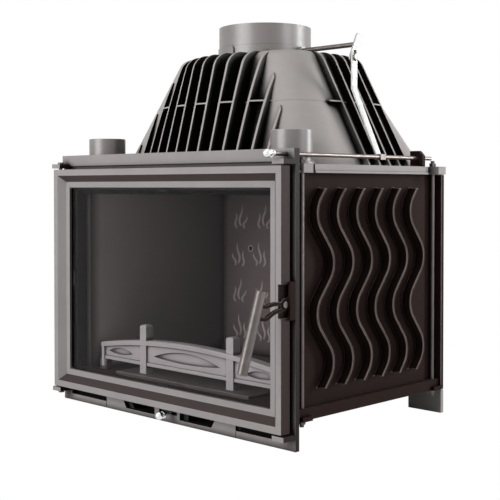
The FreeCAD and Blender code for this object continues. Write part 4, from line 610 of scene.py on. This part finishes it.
# the two short strokes beside the tall one: how far aside, lean in degrees, share of the height
leaves = ((-12, -9, 0.62), (13, 11, 0.74))
low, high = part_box("fireback")
rowsMiddle = flameSizes["low"] + flameSizes["rise"] * (flameSizes["rows"] - 1) / 2
firstHole = -flameSizes["holePitch"] * (flameSizes["holes"] - 1) / 2
flameInputs = {
    "Columns": flameSizes["columns"], "Rows": flameSizes["rows"], "Pitch": flameSizes["pitch"] / 1000,
    "Rise": flameSizes["rise"] / 1000, "Height": flameSizes["height"] / 1000,
    "Swing": flameSizes["swing"] / 1000, "Bead": flameSizes["bead"] / 1000,
    "Place": (0.0, low.y, low.z + rowsMiddle / 1000), "Holes": flameSizes["holes"],
    "Hole Start": (firstHole / 1000, low.y, low.z + flameSizes["holeRise"] / 1000),
    "Hole Pitch": (flameSizes["holePitch"] / 1000, 0.0, 0.0), "Ring": flameSizes["ring"] / 1000,
    "Ring Bead": flameSizes["ringBead"] / 1000, "Iron": finishes["brushedHighlitReliefIron"]}
tree, given = geometryTree("flameReliefTree", flameInputs)
# one stroke: a line that swings less as it rises, thick below and pointed above
tip = addNode(tree, "ShaderNodeCombineXYZ", {"Z": given["Height"]})
stem = addNode(tree, "GeometryNodeCurvePrimitiveLine", {"End": tip.outputs[0]})
stem = addNode(tree, "GeometryNodeResampleCurve", {"Curve": stem.outputs[0], "Count": flameSizes["steps"]})
along = addNode(tree, "GeometryNodeSplineParameter").outputs["Factor"]
phase = addNode(tree, "ShaderNodeMath", {0: along, 1: flameSizes["wave"]}, operation="MULTIPLY")
wave = addNode(tree, "ShaderNodeMath", {0: phase.outputs[0]}, operation="SINE")
calm = addNode(tree, "ShaderNodeMapRange", {"Value": along, "To Min": 1.0, "To Max": flameSizes["calm"]})
sway = addNode(tree, "ShaderNodeMath", {0: wave.outputs[0], 1: calm.outputs[0]}, operation="MULTIPLY")
sway = addNode(tree, "ShaderNodeMath", {0: sway.outputs[0], 1: given["Swing"]}, operation="MULTIPLY")
shift = addNode(tree, "ShaderNodeCombineXYZ", {"X": sway.outputs[0]})
curl = addNode(tree, "GeometryNodeSetPosition", {"Geometry": stem.outputs[0], "Offset": shift.outputs[0]})
taper = addNode(tree, "ShaderNodeFloatCurve", {"Value": along})
foot, belly, point = flameSizes["taper"]
ends = taper.mapping.curves[0].points
ends[0].location, ends[1].location = foot, point
ends.new(*belly)
taper.mapping.update()
bead = addNode(tree, "GeometryNodeCurvePrimitiveCircle", {
    "Resolution": flameSizes["sides"], "Radius": given["Bead"]})
stroke = addNode(tree, "GeometryNodeCurveToMesh", {
    "Curve": curl.outputs[0], "Profile Curve": bead.outputs[0], "Scale": taper.outputs[0], "Fill Caps": True})
# a flame: one tall stroke between two short ones that lean away from it
flame = addNode(tree, "GeometryNodeJoinGeometry", {"Geometry": stroke.outputs[0]})
for aside, lean, tall in leaves:
    leaf = addNode(tree, "GeometryNodeTransform", {
        "Geometry": stroke.outputs[0], "Translation": (aside / 1000, 0, -flameSizes["leafDrop"] / 1000),
        "Rotation": (0, math.radians(lean), 0), "Scale": (1, 1, tall)})
    tree.links.new(leaf.outputs[0], flame.inputs[0])
# rows of flames, a little strayed, every second one turned round
spans = []
for pitch, count in (("Pitch", "Columns"), ("Rise", "Rows")):
    gaps = addNode(tree, "ShaderNodeMath", {0: given[count], 1: 1.0}, operation="SUBTRACT")
    span = addNode(tree, "ShaderNodeMath", {0: given[pitch], 1: gaps.outputs[0]}, operation="MULTIPLY")
    spans.append(span.outputs[0])
grid = addNode(tree, "GeometryNodeMeshGrid", {
    "Size X": spans[0], "Size Y": spans[1], "Vertices X": given["Columns"], "Vertices Y": given["Rows"]})
standing = addNode(tree, "GeometryNodeTransform", {
    "Geometry": grid.outputs[0], "Translation": given["Place"], "Rotation": upright})
stray = [way / 1000 for way in flameSizes["stray"]]
scatter = addNode(tree, "FunctionNodeRandomValue", {
    0: [-way for way in stray], 1: stray, "Seed": flameSizes["seed"]}, data_type="FLOAT_VECTOR")
loose = addNode(tree, "GeometryNodeSetPosition", {
    "Geometry": standing.outputs[0], "Offset": scatter.outputs["Value"]})
number = addNode(tree, "GeometryNodeInputIndex").outputs[0]
odd = addNode(tree, "ShaderNodeMath", {0: number, 1: 2.0}, operation="MODULO")
turned = addNode(tree, "ShaderNodeMath", {0: odd.outputs[0], 1: math.pi}, operation="MULTIPLY")
spin = addNode(tree, "ShaderNodeCombineXYZ", {"Z": turned.outputs[0]})
flames = addNode(tree, "GeometryNodeInstanceOnPoints", {
    "Points": loose.outputs[0], "Instance": flame.outputs[0], "Rotation": spin.outputs[0]})
row = addNode(tree, "GeometryNodeMeshLine", {
    "Count": given["Holes"], "Start Location": given["Hole Start"], "Offset": given["Hole Pitch"]})
ring = addNode(tree, "GeometryNodeCurvePrimitiveCircle", {
    "Resolution": flameSizes["ringSteps"], "Radius": given["Ring"]})
ringBead = addNode(tree, "GeometryNodeCurvePrimitiveCircle", {
    "Resolution": flameSizes["sides"], "Radius": given["Ring Bead"]})
hoop = addNode(tree, "GeometryNodeCurveToMesh", {
    "Curve": ring.outputs[0], "Profile Curve": ringBead.outputs[0]})
hoops = addNode(tree, "GeometryNodeInstanceOnPoints", {
    "Points": row.outputs[0], "Instance": hoop.outputs[0], "Rotation": upright})
relief = addNode(tree, "GeometryNodeJoinGeometry", {"Geometry": flames.outputs[0]})
tree.links.new(hoops.outputs[0], relief.inputs[0])
endTree(tree, relief.outputs[0], given["Iron"])
seat(grown("flameRelief", tree, flameInputs), bodyOf["fireback"])
print("fireback relief cast")

# mould seam round the hood at the level of its webs: the hood's half sizes at that level, the bead, and the
# hood's half depth at its foot, millimetres
seamSizes = {"halfWide": 231.1, "halfDeep": 149.0, "rise": 129.5, "frontCorner": 74.1, "rearCorner": 52.8,
             "cornerSteps": 24, "bead": 0.9, "beadSides": 6, "steps": 480, "hoodHalfDeep": 182.5}
low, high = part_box("hood")
hoodMiddle = high.y - seamSizes["hoodHalfDeep"] / 1000
seamInputs = {
    "Width": 2 * seamSizes["halfWide"] / 1000, "Depth": 2 * seamSizes["halfDeep"] / 1000,
    "Steps": seamSizes["steps"], "Front Corner": seamSizes["frontCorner"] / 1000,
    "Rear Corner": seamSizes["rearCorner"] / 1000,
    "Place": (0.0, hoodMiddle, low.z + seamSizes["rise"] / 1000),
    "Bead": seamSizes["bead"] / 1000, "Iron": finishes["finGraphiteIron"]}
tree, given = geometryTree("hoodSeamTree", seamInputs)
loop = addNode(tree, "GeometryNodeCurvePrimitiveQuadrilateral", {
    "Width": given["Width"], "Height": given["Depth"]})
spot = addNode(tree, "ShaderNodeSeparateXYZ", {0: addNode(tree, "GeometryNodeInputPosition").outputs[0]})
# one radius before the middle, the other behind it
corner = addNode(tree, "ShaderNodeMapRange", {
    "Value": spot.outputs["Y"], "From Min": -0.001, "From Max": 0.001,
    "To Min": given["Front Corner"], "To Max": given["Rear Corner"]})
bent = addNode(tree, "GeometryNodeFilletCurve", {
    "Curve": loop.outputs[0], "Count": seamSizes["cornerSteps"], "Radius": corner.outputs[0]}, mode="POLY")
steps = addNode(tree, "GeometryNodeResampleCurve", {"Curve": bent.outputs[0], "Count": given["Steps"]})
raised = addNode(tree, "GeometryNodeTransform", {"Geometry": steps.outputs[0], "Translation": given["Place"]})
bead = addNode(tree, "GeometryNodeCurvePrimitiveCircle", {
    "Resolution": seamSizes["beadSides"], "Radius": given["Bead"]})
seam = addNode(tree, "GeometryNodeCurveToMesh", {"Curve": raised.outputs[0], "Profile Curve": bead.outputs[0]})
endTree(tree, seam.outputs[0], given["Iron"])
seat(grown("hoodSeam", tree, seamInputs), bodyOf["hood"])

# bolts that hold the collar on the hood: hexagon heads with a chamfer, on washers, millimetres
boltSizes = {"spread": 158, "head": 7.5, "tall": 5.2, "chamfer": 0.9, "sides": 6,
             "washer": 9.2, "washerTall": 1.6, "washerSides": 24}
boltInputs = {
    "Spread": boltSizes["spread"] / 1000, "Head": boltSizes["head"] / 1000,
    "Crown": (boltSizes["head"] - boltSizes["chamfer"]) / 1000, "Tall": boltSizes["tall"] / 1000,
    "Chamfer": boltSizes["chamfer"] / 1000, "Washer": boltSizes["washer"] / 1000,
    "Washer Tall": boltSizes["washerTall"] / 1000, "Place": (0.0, hoodMiddle, high.z),
    "Steel": finishes["oiledSteel"]}
tree, given = geometryTree("collarBoltTree", boltInputs)
disc = addNode(tree, "GeometryNodeMeshCylinder", {
    "Vertices": boltSizes["washerSides"], "Radius": given["Washer"], "Depth": given["Washer Tall"]})
head = addNode(tree, "GeometryNodeMeshCylinder", {
    "Vertices": boltSizes["sides"], "Radius": given["Head"], "Depth": given["Tall"]})
crown = addNode(tree, "GeometryNodeMeshCone", {
    "Vertices": boltSizes["sides"], "Radius Top": given["Crown"], "Radius Bottom": given["Head"],
    "Depth": given["Chamfer"]})
halfDisc, halfHead = [addNode(tree, "ShaderNodeMath", {0: given[name], 1: 0.5}, operation="MULTIPLY").outputs[0]
                      for name in ("Washer Tall", "Tall")]
lifted = addNode(tree, "ShaderNodeMath", {0: given["Washer Tall"], 1: halfHead}, operation="ADD")
topped = addNode(tree, "ShaderNodeMath", {0: given["Washer Tall"], 1: given["Tall"]}, operation="ADD")
bolt = addNode(tree, "GeometryNodeJoinGeometry")
for shape, lift in ((disc, halfDisc), (head, lifted.outputs[0]), (crown, topped.outputs[0])):
    upward = addNode(tree, "ShaderNodeCombineXYZ", {"Z": lift})
    moved = addNode(tree, "GeometryNodeTransform", {
        "Geometry": shape.outputs[0], "Translation": upward.outputs[0]})
    tree.links.new(moved.outputs[0], bolt.inputs[0])
corners = addNode(tree, "GeometryNodeMeshGrid", {
    "Size X": given["Spread"], "Size Y": given["Spread"], "Vertices X": 2, "Vertices Y": 2})
seated = addNode(tree, "GeometryNodeTransform", {"Geometry": corners.outputs[0], "Translation": given["Place"]})
bolts = addNode(tree, "GeometryNodeInstanceOnPoints", {
    "Points": seated.outputs[0], "Instance": bolt.outputs[0]})
endTree(tree, bolts.outputs[0], given["Steel"])
seat(grown("collarBolts", tree, boltInputs), bodyOf["flue_collar"])

# screw thread on the free ends of the tie rods, millimetres
threadSizes = {"rod": 4.0, "pitch": 1.25, "turns": 3.4, "steps": 14, "ridge": 0.34, "ridgeSides": 5,
               "lowEnd": 0.4, "topGap": 4.6}
low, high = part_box("tie_rods")
rodsMiddle = ((low.x + high.x) / 2, (low.y + high.y) / 2)
threadInputs = {
    "Across": high.x - low.x - 2 * threadSizes["rod"] / 1000,
    "Along": high.y - low.y - 2 * threadSizes["rod"] / 1000,
    "Rod": threadSizes["rod"] / 1000, "Turns": threadSizes["turns"],
    "Run": threadSizes["pitch"] * threadSizes["turns"] / 1000, "Ridge": threadSizes["ridge"] / 1000,
    "Low Place": (*rodsMiddle, low.z + threadSizes["lowEnd"] / 1000),
    "High Place": (*rodsMiddle, high.z - threadSizes["topGap"] / 1000), "Steel": finishes["oiledSteel"]}
tree, given = geometryTree("rodThreadTree", threadInputs)
coil = addNode(tree, "GeometryNodeCurveSpiral", {
    "Resolution": threadSizes["steps"], "Rotations": given["Turns"], "Start Radius": given["Rod"],
    "End Radius": given["Rod"], "Height": given["Run"]})
ridge = addNode(tree, "GeometryNodeCurvePrimitiveCircle", {
    "Resolution": threadSizes["ridgeSides"], "Radius": given["Ridge"]})
thread = addNode(tree, "GeometryNodeCurveToMesh", {
    "Curve": coil.outputs[0], "Profile Curve": ridge.outputs[0], "Fill Caps": True})
ends = addNode(tree, "GeometryNodeMeshGrid", {
    "Size X": given["Across"], "Size Y": given["Along"], "Vertices X": 2, "Vertices Y": 2})
both = addNode(tree, "GeometryNodeJoinGeometry")
for level in ("Low Place", "High Place"):
    moved = addNode(tree, "GeometryNodeTransform", {"Geometry": ends.outputs[0], "Translation": given[level]})
    tree.links.new(moved.outputs[0], both.inputs[0])
threads = addNode(tree, "GeometryNodeInstanceOnPoints", {
    "Points": both.outputs[0], "Instance": thread.outputs[0]})
endTree(tree, threads.outputs[0], given["Steel"])
seat(grown("rodThreads", tree, threadInputs), bodyOf["tie_rods"])
print("seam, bolts and threads made")


# sheet of one section in Y and Z, drawn out along X over each of the runs
def bentSheet(name, section, runs, finish):
    work = bmesh.new()
    for run in runs:
        near, far = [[work.verts.new((x, y, z)) for y, z in section] for x in run]
        for spot in range(len(section)):
            other = (spot + 1) % len(section)
            work.faces.new((near[spot], near[other], far[other], far[spot]))
        work.faces.new(near)
        work.faces.new(far)
    bmesh.ops.recalc_face_normals(work, faces=work.faces)
    mesh = bpy.data.meshes.new(name)
    work.to_mesh(mesh)
    work.free()
    mesh.materials.append(finishes[finish])
    return meshObject(name, mesh)


# sheet under the air duct that turns the air down the pane: reach above and below the duct, lip, millimetres
stripSizes = {"sheet": 1.6, "above": 14, "below": 18, "lip": 5}
low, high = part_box("airwash_duct")
sheet = stripSizes["sheet"] / 1000
top, bottom = low.z + stripSizes["above"] / 1000, low.z - stripSizes["below"] / 1000
lip = low.y + stripSizes["lip"] / 1000
section = [(low.y - sheet, top), (low.y - sheet, bottom + sheet), (low.y, bottom), (lip, bottom),
           (lip, bottom + sheet), (low.y, bottom + sheet), (low.y, top)]
strip = bentSheet("airwashStrip", section, [(low.x, high.x)], "sootAndShadeBlackSteel")
seat(strip, bodyOf["airwash_duct"])

# black sheets behind the outer slots of the skirt, put there as painted shade so the slots look dark; they also
# close the slots so that only the slider lets air in, millimetres
shadeSheetSizes = {"sheet": 1.6, "low": 6, "high": 48, "lip": 9, "inner": 198, "outer": 322}
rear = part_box("front_plate")[1].y
sheet = shadeSheetSizes["sheet"] / 1000
bottom, top, lip = shadeSheetSizes["low"] / 1000, shadeSheetSizes["high"] / 1000, rear + shadeSheetSizes["lip"] / 1000
section = [(rear, top), (rear, bottom + sheet), (rear + sheet, bottom), (lip, bottom), (lip, bottom + sheet),
           (rear + sheet, bottom + sheet), (rear + sheet, top)]
inner, outer = shadeSheetSizes["inner"] / 1000, shadeSheetSizes["outer"] / 1000
shadeSheets = bentSheet("skirtShadeSheets", section, [(-outer, -inner), (inner, outer)], "sootAndShadeBlackSteel")
seat(shadeSheets, bodyOf["front_plate"])
print("airwash strip and blanking sheets bent")
